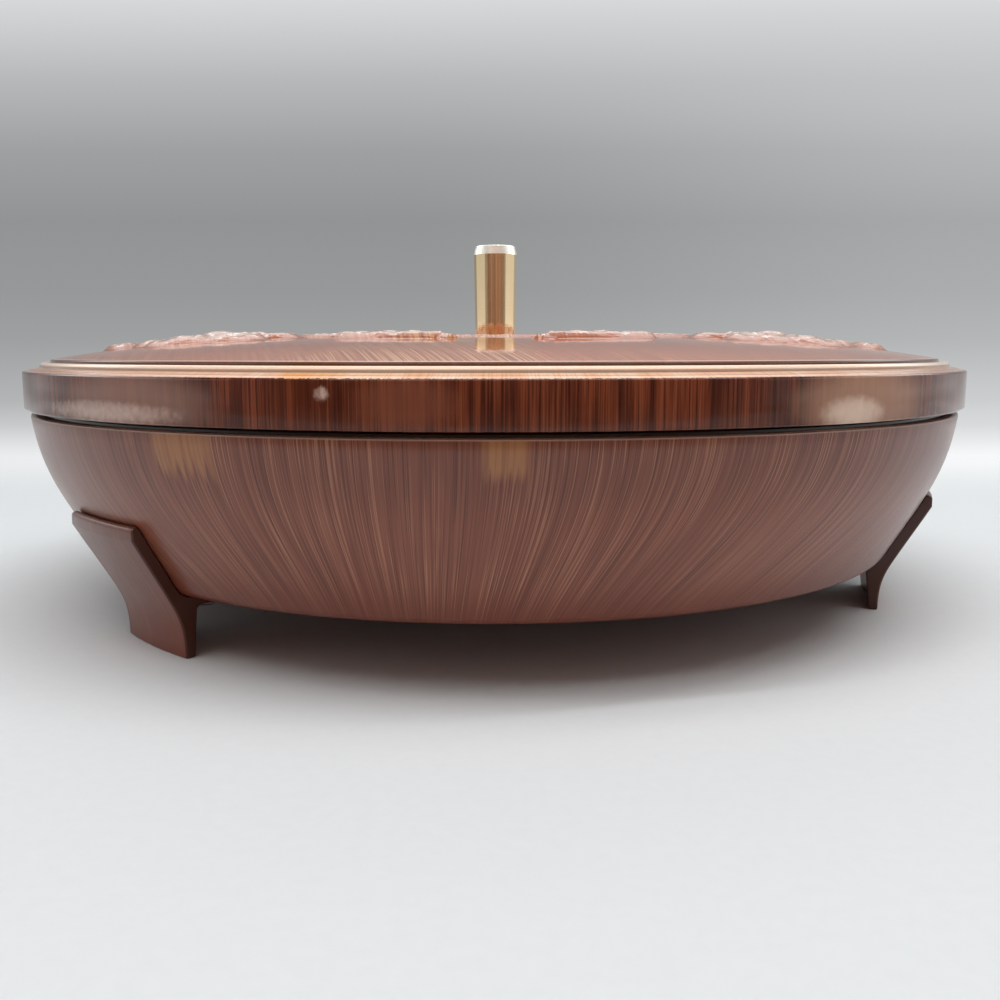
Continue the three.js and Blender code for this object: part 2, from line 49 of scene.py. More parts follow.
# Bowl
RIM_RADIUS, RIM_HEIGHT = 148.5, 61.7
BASE_RADIUS, BASE_HEIGHT = 129.5, 16.6
CORNER_RADIUS = 5
WALL = 2.8
WALL_LEAN, RIM_LEAN = 29.3 * DEGREES, 6.8 * DEGREES
LOWER_PULL, UPPER_PULL = 22, 18
LEDGE_WIDTH, LEDGE_DROP, LEDGE_THICKNESS, LEDGE_TAPER = 3.5, 1.9, 2, 5
RIM_ROUNDING = ((0.1, 0.9), (0.25, 0.35), (0.8, 0))  # inwards and down from the rim's outer edge
MOUTH_BEVEL = 0.3
FLOOR_HEIGHT = BASE_HEIGHT + WALL
BOSS_RADIUS, BOSS_HEIGHT, BOSS_BEVEL, BOSS_ROOT = 3.8, 4.8, 0.6, 1

# Divided insert
INSERT_WALL = 2.2
INSERT_BOTTOM = 25
POCKET_BOTTOM = INSERT_BOTTOM + 2.2
INSERT_CORNER = 14
COMPARTMENTS = 5
MIDDLE_RADIUS = 38
DIVIDER = 2
DRAFT = 1 * DEGREES
DIVIDER_ROUND = 0.5
DIVIDER_DROP = 5.2  # from the flange's top down to the dividers' top
DIVIDER_GAP = 0.3  # from a divider's end to the ring and to the tray's wall
INSERT_PLAY = 1.4  # between the tray's wall and the bowl
FLANGE_PLAY, FLANGE_THICKNESS, FLANGE_ROUND = 0.5, 2.6, 0.6
SEAT_GAP = 0.3

# Lid
LID_RADIUS = 150
LID_WALL = 2.5
LID_BOTTOM = 63
SKIRT_TOP, SKIRT_ROUND = 74, 0.7
LIP_TOP, LIP_RADIUS = 75, 145.3
LIP_SLOPE = ((LID_RADIUS - 1.2, SKIRT_TOP + 0.1), (LIP_RADIUS + 0.5, LIP_TOP - 0.12))
BEAD_RADIUS, BEAD_TURN = 1.1, 120 * DEGREES
BEAD_CENTRE = (144.2, 75.3)
DISC_RADIUS, DISC_ROUND = 141.8, 0.5
DISC_TOP = BEAD_CENTRE[1] + BEAD_RADIUS * math.sin(BEAD_TURN) + 1
CROWN_RISE, CROWN_POWER = 6.6, 4
CROWN_TOP = DISC_TOP + CROWN_RISE
KNOB_SEAT = 8  # radius of the flat middle of the dome
UNDERSIDE_REACH = 136  # of the dome's curved underside
SCREW_HOLE, WASHER_SEAT = 2.3, 6.5
RING_THICKNESS = 2  # of the ring that rests on the flange and of the one that centres the lid
SEAT_RING_INSET = 1
CENTRING_PLAY, CENTRING_REACH = 0.8, 3.2
# Painted reflections on the skirt, pale patches of glare and sheen: azimuth, height, half width, half
# height, colour and share
SKIRT_GLARE = (
    (-34 * DEGREES, 68, 11 * DEGREES, 9, (0.30, 0.17, 0.13), 0.7),
    (-38 * DEGREES, 65.5, 13 * DEGREES, 3.2, (0.62, 0.48, 0.41), 0.7),
    (-13.9 * DEGREES, 70.6, 0.9 * DEGREES, 2.3, (0.75, 0.55, 0.46), 0.75),
    (-7 * DEGREES, 69, 5 * DEGREES, 7, (0.20, 0.065, 0.036), 0.7),
    (35 * DEGREES, 68, 10 * DEGREES, 10, (0.45, 0.25, 0.16), 0.7),
    (33 * DEGREES, 65.5, 5 * DEGREES, 4.5, (0.85, 0.68, 0.55), 0.7),
)
# Painted shade: dark lines in the grooves of the lid's top: radius, half width and share
LID_GROOVE_SHADE = (
    (DISC_RADIUS + 0.45, 0.6, 0.9),
    (LIP_RADIUS + 0.1, 0.2, 0.5),
    (LIP_RADIUS + 2.2, 0.25, 0.6),
)

# Flowers, leaves and stems on the dome
FLOWERS, FLOWER_DISTANCE, PETALS = 3, 96, 6
PETAL_ROWS = ((26, 0, 1.8), (16, math.pi / PETALS, 2.4))  # reach, turn and rise
PETAL_NOTCH = 0.26  # how far the edge comes in between petals, as a share of the reach
PETAL_ROUNDNESS, PETAL_STEEPNESS = 0.7, 7
PETAL_DISH = (0.7, 0.4)  # a petal's height in the middle of the flower, and its gain outwards
PETAL_VEIN = (0.25, 0.004)  # depth and width
BUD_RADIUS, BUD_RISE, BUD_FULLNESS = 6.5, 3.2, 0.4
LEAF_RISE, LEAF_BEND, LEAF_TAPER, LEAF_STEEPNESS = 1.9, 0.18, 0.3, 3
LEAF_DISH = (0.8, 0.25)  # a leaf's height at its edge, and its gain inwards
LEAF_VEINS = (0.15, 14, 5)  # depth, number along the leaf and slant
LEAF_GROOVE = (0.4, 0.12)  # depth and half width
# Each leaf: turn from its line, distance from the knob, length, width and heading
OUTER_LEAF = (19 * DEGREES, 86, 40, 16, 168 * DEGREES)
INNER_LEAF = (34 * DEGREES, 56, 30, 13, -60 * DEGREES)
SPRAY_LEAF = (21 * DEGREES, 120, 42, 14, -4 * DEGREES)
PLAIN_FRONT = 60 * DEGREES  # each side of the front, where there are no spray leaves
# Each wavy ring of stems: mean radius, swing, waves and rise
STEMS = ((64, 6, 6, 1.1), (97, 8, 6, 0.9))
STEM_HALF_WIDTH = 1.8
OUTER_STEMS = 84  # radius beyond which a stem is the outer ring's
INNER_STEMS_LEFT = 0.65  # share of their rise that the inner stems keep in front

# Knob
KNOB_RADIUS, KNOB_FOOT, KNOB_COLLAR = 7.4, 6.9, 3
KNOB_TOP = CROWN_TOP + 31.29
KNOB_FOOT_INSET, KNOB_FOOT_ROUND = 0.6, 0.4
# The shaft above its foot: how far it stands out from the foot's radius, and the height there
KNOB_SHAFT = ((-0.1, 1.8), (0.05, 3.6), (0.12, 5.4), (0.14, 6.4))
# The shaft just under its collar, and the collar's top edge: inwards and down
KNOB_NECK = (0.02, 0.6)
KNOB_CROWN = ((0.6, 0.35), (1.0, 0))

# Screws and washer: a screw's shank radius, length, head radius and head height
FOOT_SCREW = (1.5, 8.8, 2.9, 2)
KNOB_SCREW = (2, 13.5, 3.8, 2.4)
HEAD_ROUNDING = 0.6  # share of a head's height
SLOT_WIDTH, SLOT_DEPTH, SLOT_MARGIN = 0.8, 0.9, 1
WASHER_RADIUS, WASHER_THICKNESS, WASHER_ROUND = 5.5, 1, 0.2

# Feet
FEET = {
    "foot_front_left": -46.2 * DEGREES,
    "foot_right": 73.8 * DEGREES,
    "foot_back": 193.8 * DEGREES,
}
FOOT_SWEEP = 15.2 * DEGREES
FOOT_FLOOR_RADIUS, FOOT_BACK_RADIUS = 129.2, 125.2
FOOT_TIP, FOOT_UPRIGHT, FOOT_TIP_BEVEL = 36.6, 3.4, 0.7
FOOT_TONGUE = 3.5  # from the bowl's wall out to the tongue's face
FOOT_GAP, TAB_GAP = 0.12, 0.3  # between the bowl and the foot's tongue and tab
FOOT_SOLE = 2.7
SHIN_PULL, KNEE_PULL = 8.5, 7
TAB_REACH, TAB_FILLET = 13, 1.5
FOOT_BEVEL = 0.45
SCREW_SPREAD = 4.4 * DEGREES
SCREW_CIRCLE = FOOT_BACK_RADIUS - 7
TAB_BOTTOM = BASE_HEIGHT - 3

# Fineness of full turns, of a foot's sweep, and of the bowl's lower corner and its wall
BODY_STEPS, RING_STEPS, LID_STEPS, KNOB_STEPS = 240, 160, 420, 128
WASHER_STEPS, SCREW_STEPS, BOSS_STEPS, FOOT_STEPS = 64, 40, 32, 14
CORNER_STEPS, WALL_STEPS = 8, 30

# Colours, as linear red, green and blue
BOWL_COLOURS = {
    "brown": (0.250, 0.080, 0.045),
    "dark brown": (0.190, 0.052, 0.029),
    "dark stroke": (0.080, 0.020, 0.011),
    "tan stroke": (0.46, 0.22, 0.125),
    "ochre": (0.46, 0.205, 0.075),
    "upper shade": (0.110, 0.034, 0.022),
    "foot": (0.160, 0.034, 0.016),
    # a painted highlight along the rim's rounded top
    "rim highlight": (0.52, 0.36, 0.29),
}
SKIRT_COLOURS = {
    "brown": (0.180, 0.042, 0.016),
    "dark brown": (0.075, 0.015, 0.006),
    "dark stroke": (0.022, 0.005, 0.003),
    "tan stroke": (0.30, 0.10, 0.05),
    "shade": (0.040, 0.009, 0.005),
    # painted shade for the lid's grooves
    "groove": (0.070, 0.018, 0.009),
}
# The lip's colours. The pale paint in front, its pale patches and the bead's colour are painted sheen
# and highlight; the sides are the lip's own brown.
LIP_COLOURS = {
    "pale": (0.86, 0.52, 0.36),
    "ochre": (0.86, 0.39, 0.13),
    "sheen": (0.90, 0.70, 0.54),
    "sides": (0.42, 0.18, 0.09),
    "stroke": (0.20, 0.07, 0.03),
    "bead": (0.99, 0.80, 0.63),
}
DOME_COLOURS = {
    "brown": (0.365, 0.108, 0.049),
    "pale brown": (0.485, 0.152, 0.069),
    "tan stroke": (0.62, 0.33, 0.17),
    "dark stroke": (0.15, 0.045, 0.022),
    # The last four are painted light: shade on the relief's low parts, a highlight on its crests,
    # glints on it, and a highlight on the disc's edge.
    "hollow": (0.13, 0.035, 0.018),
    "crest": (0.66, 0.58, 0.54),
    "glint": (0.95, 0.90, 0.86),
    "edge": (0.85, 0.60, 0.45),
}
FOOT_COLOURS = {
    "low": (0.185, 0.038, 0.014),
    "high": (0.140, 0.038, 0.021),
    "stroke": (0.25, 0.10, 0.05),
    # painted shade on the feet's flanks
    "flank": (0.040, 0.014, 0.009),
}
INSERT_COLOURS = ((0.022, 0.007, 0.005), (0.034, 0.011, 0.007))
GOLD_COLOURS = ((0.94, 0.69, 0.40), (0.98, 0.77, 0.49))
# a painted highlight on the knob's top collar
COLLAR_HIGHLIGHT = (1.0, 0.97, 0.86)
ZINC_COLOURS = ((0.42, 0.43, 0.45), (0.58, 0.59, 0.60))
PAPER_COLOURS = ((0.680, 0.712, 0.724), (0.714, 0.746, 0.758))
CLOTH_COLOURS = ((0.24, 0.15, 0.12), (0.60, 0.40, 0.32))
CLOTH_SEEN = (0.77, 0.785, 0.79)

# Places of painted patches
OCHRE_SPOTS = ((-28.5 * DEGREES, 2.8 * DEGREES), (0.8 * DEGREES, 1.3 * DEGREES))  # centre, half width
FAN_CENTRE, FAN_CURVE = -10 * DEGREES, 0.00018  # of the bowl's strokes, which bend away from there
UPPER_WALL = (40, 54)  # heights between which the bowl's wall grows darker
LOWER_WALL = (29, 18)  # and redder

# Stage, in metres
BACKDROP_DEPTH, BACKDROP_BEND, BACKDROP_HEIGHT = 0.50, 0.09, 0.85
FLOOR_FRONT, FLOOR_HALF_WIDTH = -1.1, 1.6
# The backdrop's glow by height, painted light and shade for the camera and for reflections
BACKDROP_GLOW = (
    (0.0, 0.86), (0.02, 0.60), (0.039, 0.47), (0.089, 0.36), (0.13, 0.32), (0.187, 0.30),
    (0.243, 0.36), (0.298, 0.49), (0.359, 0.70), (0.44, 1.6), (0.8, 2.4),
)
GREY_CAST = (0.985, 1, 1.01)
WING_PLACE, WING_FRONT, WING_BACK, WING_HEIGHT = 0.95, -0.6, 0.4, 0.5
CLOTH_LINE = ((-0.40, 0.001), (-0.76, 0.001), (-0.76, 0.9))  # depth and height
CLOTH_HALF_WIDTH = 0.8
ROOM_COLOUR = (0.30, 0.305, 0.31)
# Each lamp's place and size in metres, and its power in watts
LAMPS = {
    "top_panel": ((0.1, -0.40, 1.4), (2.2, 0.9), 16.0),
    "tube": ((0.1, -0.36, 1.38), (1.8, 0.06), 6.0),
}

# Camera, in metres and radians
CAMERA_PLACE = (0, -0.35326, 0.0793)
CAMERA_PITCH, CAMERA_YAW, CAMERA_ROLL = 0.14712, 0.00445, -0.00089
CAMERA_LENS = 36


def polar(distance, angle):
    return np.array([distance * math.cos(angle), distance * math.sin(angle)])


def place(azimuth, radius, height):
    return (radius * math.sin(azimuth), -radius * math.cos(azimuth), height)


def arc(centre, radius, start, end, steps):
    """Points on a circular arc, both ends included."""
    angles = np.linspace(start, end, steps + 1)
    return [tuple(np.array(centre) + polar(radius, a)) for a in angles]


def bezier(a, b, c, d, steps):
    t = np.linspace(0, 1, steps + 1)[:, None]
    curve = (1 - t) ** 3 * a + 3 * t * (1 - t) ** 2 * b + 3 * t * t * (1 - t) * c + t**3 * d
    return [tuple(p) for p in curve]


def offset_line(line, distance):
    """An open line moved to its left by a distance."""
    points = np.array(line)
    along = np.gradient(points, axis=0)
    along /= np.linalg.norm(along, axis=1)[:, None]
    return [tuple(p) for p in points + distance * np.stack([-along[:, 1], along[:, 0]], 1)]


def radius_at(line, height):
    """The radius at a height of a line of points that rises all the way."""
    radii, heights = np.array(line).T
    return float(np.interp(height, heights, radii))


def rounded(section, radius, steps=3):
    """A closed section with each of its corners cut back and rounded by a radius."""
    made = []
    points = [np.array(p, float) for p in section]
    for i, corner in enumerate(points):
        before, after = points[i - 1] - corner, points[(i + 1) % len(points)] - corner
        start = corner + before / np.linalg.norm(before) * radius
        end = corner + after / np.linalg.norm(after) * radius
        for t in np.linspace(0, 1, steps + 1):
            made.append(tuple((1 - t) ** 2 * start + 2 * t * (1 - t) * corner + t * t * end))
    return made


def revolve(section, steps):
    """Vertices and faces of a full turn of a section, which is closed or has both ends on the axis."""
    vertices, rows, faces = [], [], []
    for radius, height in section:
        count = 1 if radius == 0 else steps
        rows.append([len(vertices) + i * (radius != 0) for i in range(steps)])
        vertices += [place(2 * math.pi * i / steps, radius, height) for i in range(count)]
    following = rows[1:] if section[0][0] == 0 else rows[1:] + rows[:1]
    for low, high in zip(rows, following):
        for i in range(steps):
            j = (i + 1) % steps
            face = tuple(dict.fromkeys((low[i], low[j], high[j], high[i])))
            if len(face) > 2:
                faces.append(face)
    return vertices, faces


def loft(rings):
    """Vertices and faces of a solid through rings of points, with a cap at each end."""
    size = len(rings[0])
    vertices = [p for ring in rings for p in ring]
    faces = [tuple(range(size)), tuple(range(len(vertices) - size, len(vertices)))]
    for ring in range(len(rings) - 1):
        for i in range(size):
            a, b = ring * size + i, ring * size + (i + 1) % size
            faces.append((a, b, b + size, a + size))
    return vertices, faces


def new_object(name, vertices, faces, material, sharp=SHARP):
    mesh = bpy.data.meshes.new(name)
    mesh.from_pydata((np.array(vertices) * MM).tolist(), [], faces)
    work = bmesh.new()
    work.from_mesh(mesh)
    bmesh.ops.recalc_face_normals(work, faces=work.faces)
    work.to_mesh(mesh)
    work.free()
    mesh.shade_smooth()
    mesh.set_sharp_from_angle(angle=sharp)
    mesh.materials.append(material)
    made = bpy.data.objects.new(name, mesh)
    bpy.context.scene.collection.objects.link(made)
    return made


def combine(target, tool, operation):
    """Cuts the tool from the target or adds it, and removes the tool."""
    modifier = target.modifiers.new(operation, "BOOLEAN")
    modifier.operation = operation
    modifier.solver = "EXACT"
    modifier.object = tool
    evaluated = target.evaluated_get(bpy.context.evaluated_depsgraph_get())
    mesh = bpy.data.meshes.new_from_object(evaluated)
    target.modifiers.clear()
    target.data = mesh
    bpy.data.objects.remove(tool)
    mesh.shade_smooth()
    mesh.set_sharp_from_angle(angle=SHARP)


def settle(piece, body, slot, *nodes):
    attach(piece, body)
    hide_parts(*nodes)


class Shader:
    """A material whose pattern is built from the piece's own coordinates, in millimetres."""

    def __init__(self, name, **settings):
        self.material = bpy.data.materials.new(name)
        self.material.use_nodes = True
        self.nodes = self.material.node_tree.nodes
        self.links = self.material.node_tree.links
        self.surface = self.nodes["Principled BSDF"]
        for setting, value in settings.items():
            self.surface.inputs[setting.replace("_", " ")].default_value = value
        coordinates = self.nodes.new("ShaderNodeTexCoord").outputs["Object"]
        self.place = self.vector("MULTIPLY", coordinates, (1000, 1000, 1000))
        parts = self.node("ShaderNodeSeparateXYZ", self.place)
        self.x, self.y, self.z = parts.outputs
        self.azimuth = self.math("ARCTAN2", self.x, self.times(self.y, -1))
        squares = self.sum(self.math("POWER", self.x, 2), self.math("POWER", self.y, 2))
        self.radius = self.math("SQRT", squares)

    def node(self, kind, *inputs, **settings):
        made = self.nodes.new(kind)
        for name, value in settings.items():
            setattr(made, name, value)
        for socket, value in zip(made.inputs, inputs):
            self.plug(value, socket)
        return made

    def plug(self, value, socket):
        if isinstance(value, bpy.types.NodeSocket):
            self.links.new(value, socket)
        else:
            socket.default_value = value

    def set(self, **inputs):
        for name, value in inputs.items():
            self.plug(value, self.surface.inputs[name.replace("_", " ")])

    def math(self, operation, *values):
        return self.node("ShaderNodeMath", *values, operation=operation).outputs[0]

    def sum(self, a, b):
        return self.math("ADD", a, b)

    def times(self, a, b):
        return self.math("MULTIPLY", a, b)

    def minus(self, a, b):
        return self.math("SUBTRACT", a, b)

    def larger(self, a, b):
        return self.math("MAXIMUM", a, b)

    def size(self, value):
        return self.math("ABSOLUTE", value)

    def vector(self, operation, *values):
        return self.node("ShaderNodeVectorMath", *values, operation=operation).outputs[0]

    def step(self, value, low, high):
        """0 below the one value and 1 above the other, with a smooth change between them."""
        made = self.node("ShaderNodeMapRange", value, low, high, interpolation_type="SMOOTHSTEP")
        return made.outputs[0]

    def noise(self, vector, detail=3.0):
        """Noise about 0.5. Nearly all of it lies between 0.3 and 0.7, where the steps cut it."""
        made = self.node("ShaderNodeTexNoise")
        self.plug(vector, made.inputs["Vector"])
        made.inputs["Scale"].default_value = 1
        made.inputs["Detail"].default_value = detail
        return made.outputs["Fac"]

    def patches(self, size, shift=0.0, detail=3.0):
        """Noise whose features are about one size in millimetres."""
        moved = self.vector("ADD", self.place, (shift, shift, shift))
        return self.noise(self.vector("MULTIPLY", moved, (1 / size,) * 3), detail)

    def strokes(self, azimuth, along, width, length, shift=0.0):
        """Noise drawn out into strokes across the azimuth. Their size is right at the rim."""
        across = RIM_RADIUS / width
        direction = self.node(
            "ShaderNodeCombineXYZ",
            self.times(self.math("COSINE", azimuth), across),
            self.times(self.math("SINE", azimuth), across),
            self.sum(self.times(along, 1 / length), shift),
        )
        return self.noise(direction.outputs[0])

    def blend(self, factor, first, second):
        made = self.nodes.new("ShaderNodeMix")
        made.data_type = "RGBA"
        self.plug(factor, made.inputs["Factor"])
        for value, socket in ((first, made.inputs[6]), (second, made.inputs[7])):
            self.plug(value if isinstance(value, bpy.types.NodeSocket) else (*value, 1), socket)
        return made.outputs[2]

    def cover(self, colour, tint, mask, share):
        """A colour with a share of a tint over it where the mask is 1."""
        return self.blend(self.times(mask, share), colour, tint)

    def bump(self, height, distance):
        """Raises the surface by a height of up to a distance in millimetres."""
        made = self.nodes.new("ShaderNodeBump")
        made.inputs["Distance"].default_value = distance * MM
        made.inputs["Strength"].default_value = 1
        self.plug(height, made.inputs["Height"])
        self.set(Normal=made.outputs[0])


def bowl_paint():
    """Red-brown paint, with thin tan strokes that fan out upwards, ochre patches at the rim, and a
    painted highlight along the rim's top.
    """
    s = Shader("bowl_paint", Coat_Weight=0.25, Coat_Roughness=0.10, Specular_IOR_Level=0.4)
    paint = BOWL_COLOURS
    lean = s.times(s.math("SINE", s.minus(s.azimuth, FAN_CENTRE)), FAN_CURVE)
    bend = s.times(lean, s.math("POWER", s.minus(RIM_HEIGHT, s.z), 2))
    azimuth = s.sum(s.azimuth, bend)
    fine = s.strokes(azimuth, s.z, 0.32, 45)
    middling = s.strokes(azimuth, s.z, 1.3, 60, shift=5)
    cloud = s.patches(28)
    colour = s.blend(s.step(middling, 0.35, 0.65), paint["brown"], paint["dark brown"])
    # The strokes are fainter at both sides and stronger near the rim.
    sides = s.larger(
        s.step(s.azimuth, -33 * DEGREES, -43 * DEGREES),
        s.step(s.azimuth, 36 * DEGREES, 48 * DEGREES),
    )
    upper = s.step(s.z, *UPPER_WALL)
    share = s.times(s.minus(0.72, s.times(sides, 0.5)), s.sum(1, s.times(upper, 0.3)))
    colour = s.cover(colour, paint["dark stroke"], s.step(fine, 0.46, 0.36), share)
    tan = s.times(s.step(fine, 0.56, 0.64), s.step(cloud, 0.22, 0.58))
    colour = s.cover(colour, paint["tan stroke"], tan, share)
    # The ochre patches run down from the rim into a ragged edge.
    edge = s.sum(s.z, s.times(s.strokes(azimuth, s.z, 1.6, 200, shift=9), 18))
    spots = s.step(s.strokes(s.azimuth, 0.0, 24, 100, shift=2), 0.64, 0.68)
    spots = s.times(spots, s.step(s.size(s.azimuth), 40 * DEGREES, 50 * DEGREES))
    for centre, half in OCHRE_SPOTS:
        aside = s.size(s.minus(s.azimuth, centre))
        spots = s.larger(spots, s.step(aside, half + DEGREES, half))
    streaks = s.sum(0.55, s.times(s.step(middling, 0.62, 0.45), 0.4))
    colour = s.cover(colour, paint["ochre"], s.times(s.step(edge, 60, 64), spots), streaks)
    colour = s.cover(colour, paint["upper shade"], upper, 0.32)
    colour = s.cover(colour, paint["foot"], s.step(s.z, *LOWER_WALL), 0.7)
    # A painted highlight along the rim's rounded top edge.
    sheen = s.step(s.z, RIM_HEIGHT - 0.8, RIM_HEIGHT - 0.3)
    colour = s.cover(colour, paint["rim highlight"], sheen, 0.8)
    s.set(Base_Color=colour, Roughness=s.sum(0.26, s.times(cloud, 0.12)))
    s.bump(fine, 0.04)
    return s.material


def lip_colour(s, fine, broad, ochre):
    """The lip's paint: pale in front as painted sheen, with pale patches of painted sheen, ochre on one
    stretch, brown at the sides, and a painted highlight along the bead.
    """
    paint = LIP_COLOURS
    # In front the lip is pale as painted sheen, with pale patches of painted sheen; at the sides it
    # keeps its own brown.
    colour = s.cover(paint["pale"], paint["ochre"], ochre, 0.9)
    colour = s.cover(colour, paint["sheen"], s.step(broad, 0.50, 0.40), 0.6)
    sides = s.step(s.size(s.azimuth), 22 * DEGREES, 55 * DEGREES)
    colour = s.cover(colour, paint["sides"], sides, 0.7)
    colour = s.cover(colour, paint["stroke"], s.step(fine, 0.50, 0.40), 0.2)
    # A painted highlight along the bead.
    bead = s.step(s.size(s.minus(s.radius, BEAD_CENTRE[0] + 0.3)), 1.3, 1.0)
    return s.cover(colour, paint["bead"], bead, 0.8)


def lid_paint():
    """Dark red-brown paint with fine upright streaks and painted glare, a pale lip with an ochre
    stretch, painted sheen and a painted highlight, and painted shade in the lid's grooves.
    """
    s = Shader("lid_paint", Specular_IOR_Level=0.3)
    paint = SKIRT_COLOURS
    fine = s.strokes(s.azimuth, s.z, 0.4, 40)
    middling = s.strokes(s.azimuth, s.z, 1.8, 30, shift=3)
    broad = s.strokes(s.azimuth, s.z, 14, 60, shift=8)
    colour = s.blend(s.step(middling, 0.34, 0.66), paint["dark brown"], paint["brown"])
    colour = s.cover(colour, paint["dark stroke"], s.step(fine, 0.50, 0.36), 0.7)
    colour = s.cover(colour, paint["tan stroke"], s.step(fine, 0.56, 0.68), 0.3)
    colour = s.cover(colour, paint["shade"], s.step(broad, 0.50, 0.60), 0.6)
    # Painted reflections: pale patches of glare and sheen over the skirt's paint.
    for azimuth, height, half_width, half_height, tint, share in SKIRT_GLARE:
        across = s.times(s.minus(s.azimuth, azimuth), 1 / half_width)
        up = s.times(s.minus(s.z, height), 1 / half_height)
        away = s.sum(s.times(across, across), s.times(up, up))
        ragged = s.times(s.patches(0.5 * half_height), 2.5 / half_height)
        colour = s.cover(colour, tint, s.step(s.sum(away, ragged), 1.3, 0.2), share)
    # The lip's ochre stretch starts sharply at its left and fades away to the right.
    left_end = s.step(s.azimuth, -18.5 * DEGREES, -17.5 * DEGREES)
    middle = s.sum(s.times(s.step(s.azimuth, -5 * DEGREES, -11 * DEGREES), 0.65), 0.35)
    right_end = s.step(s.azimuth, 24 * DEGREES, 6 * DEGREES)
    ochre = s.times(s.times(left_end, middle), right_end)
    # The lip's paint ends in a slightly ragged line, and the lid's inside stays brown.
    ragged = s.step(s.strokes(s.azimuth, 0.0, 0.9, 100, shift=6), 0.35, 0.70)
    ragged = s.times(ragged, s.sum(0.05, s.times(ochre, 0.15)))
    above_skirt = s.step(s.sum(s.z, ragged), SKIRT_TOP - 0.1, SKIRT_TOP + 0.05)
    on_top = s.times(above_skirt, s.step(s.radius, DISC_RADIUS - 2.8, DISC_RADIUS - 0.8))
    colour = s.blend(on_top, colour, lip_colour(s, fine, broad, ochre))
    # Painted shade: dark lines in the grooves of the lid's top.
    for groove, half, share in LID_GROOVE_SHADE:
        aside = s.size(s.minus(s.radius, groove))
        dark = s.times(s.step(aside, half, half * 0.6), on_top)
        colour = s.cover(colour, paint["groove"], dark, share)
    s.set(Base_Color=colour, Roughness=s.sum(0.07, s.times(broad, 0.08)))
    s.bump(fine, 0.02)
    return s.material


def dome_paint():
    """The lid's top: pinkish brown with thin tan strokes aslant, paler where it stands out as a painted
    highlight with painted glints, a painted highlight on its edge and painted shade on the relief's low
    parts.
    """
    s = Shader("dome_paint", Specular_IOR_Level=0.5)
    paint = DOME_COLOURS
    across = s.sum(s.x, s.times(s.y, 0.28))
    grain = s.node("ShaderNodeCombineXYZ", s.times(across, 1 / 0.6), s.times(s.y, 1 / 60), 4.0)
    fine = s.noise(grain.outputs[0])
    cloud = s.patches(34, shift=40)
    speckle = s.patches(1.7, shift=15)
    colour = s.blend(s.step(fine, 0.36, 0.64), paint["brown"], paint["pale brown"])
    # The strokes are grain. They are strong in a narrow sector in front, as a painted sheen where light
    # falls along them there, and faint in clouds elsewhere.
    ahead = s.step(s.size(s.sum(s.azimuth, 7 * DEGREES)), 13 * DEGREES, 9 * DEGREES)
    share = s.larger(s.times(s.step(cloud, 0.48, 0.62), 0.3), s.times(ahead, 0.8))
    colour = s.cover(colour, paint["tan stroke"], s.step(fine, 0.46, 0.60), share)
    colour = s.cover(colour, paint["dark stroke"], s.step(fine, 0.44, 0.32), s.times(share, 0.5))
    # How far a place stands out from the plain dome
    crown = s.times(s.math("POWER", s.times(s.radius, 1 / DISC_RADIUS), CROWN_POWER), CROWN_RISE)
    raised = s.minus(s.sum(s.z, crown), CROWN_TOP)
    # Painted shade on the relief's low parts, where it meets the dome.
    hollow = s.times(s.step(raised, 0.05, 0.2), s.step(raised, 0.8, 0.3))
    colour = s.cover(colour, paint["hollow"], hollow, 0.3)
    # A painted highlight on the relief, stronger where it stands out most, in patches.
    crest = s.sum(s.times(s.step(raised, 0.3, 1.2), 0.2), s.times(s.step(raised, 1.25, 1.75), 0.4))
    sheen = s.sum(0.75, s.times(s.step(speckle, 0.42, 0.60), 0.35))
    colour = s.cover(colour, paint["crest"], crest, sheen)
    # Painted glints on the relief.
    glints = s.times(s.step(raised, 0.6, 1.2), s.step(speckle, 0.56, 0.64))
    colour = s.cover(colour, paint["glint"], glints, 0.55)
    # A painted highlight along the disc's edge.
    edge = s.step(s.radius, DISC_RADIUS - 1.2, DISC_RADIUS - 0.6)
    colour = s.cover(colour, paint["edge"], edge, 0.6)
    s.set(Base_Color=colour, Roughness=s.sum(0.05, s.times(cloud, 0.08)))
    s.bump(s.times(speckle, s.step(raised, 0.1, 0.6)), 0.12)
    return s.material


def foot_paint():
    """Smooth red-brown paint that is redder below, with painted shade that makes the flanks nearly
    black.
    """
    s = Shader("foot_paint", Coat_Weight=0.25, Coat_Roughness=0.16, Specular_IOR_Level=0.35)
    paint = FOOT_COLOURS
    fine = s.strokes(s.azimuth, s.z, 1.6, 50, shift=7)
    colour = s.blend(s.step(s.z, 4, 34), paint["low"], paint["high"])
    colour = s.cover(colour, paint["stroke"], s.step(fine, 0.56, 0.68), 0.3)
    # The feet stand a third of a turn apart, so that one measure aside serves all of them.
    third = 2 * math.pi / len(FEET)
    turned = s.sum(s.azimuth, third / 2 - FEET["foot_front_left"])
    aside = s.size(s.minus(s.math("FLOORED_MODULO", turned, third), third / 2))
    half = FOOT_SWEEP / 2
    # Painted shade on both flanks of each foot.
    flank = s.step(aside, half - 0.3 * DEGREES, half - 0.05 * DEGREES)
    colour = s.cover(colour, paint["flank"], flank, 0.75)
    s.set(Base_Color=colour, Roughness=s.sum(0.24, s.times(s.patches(12), 0.14)))
    s.bump(fine, 0.03)
    return s.material


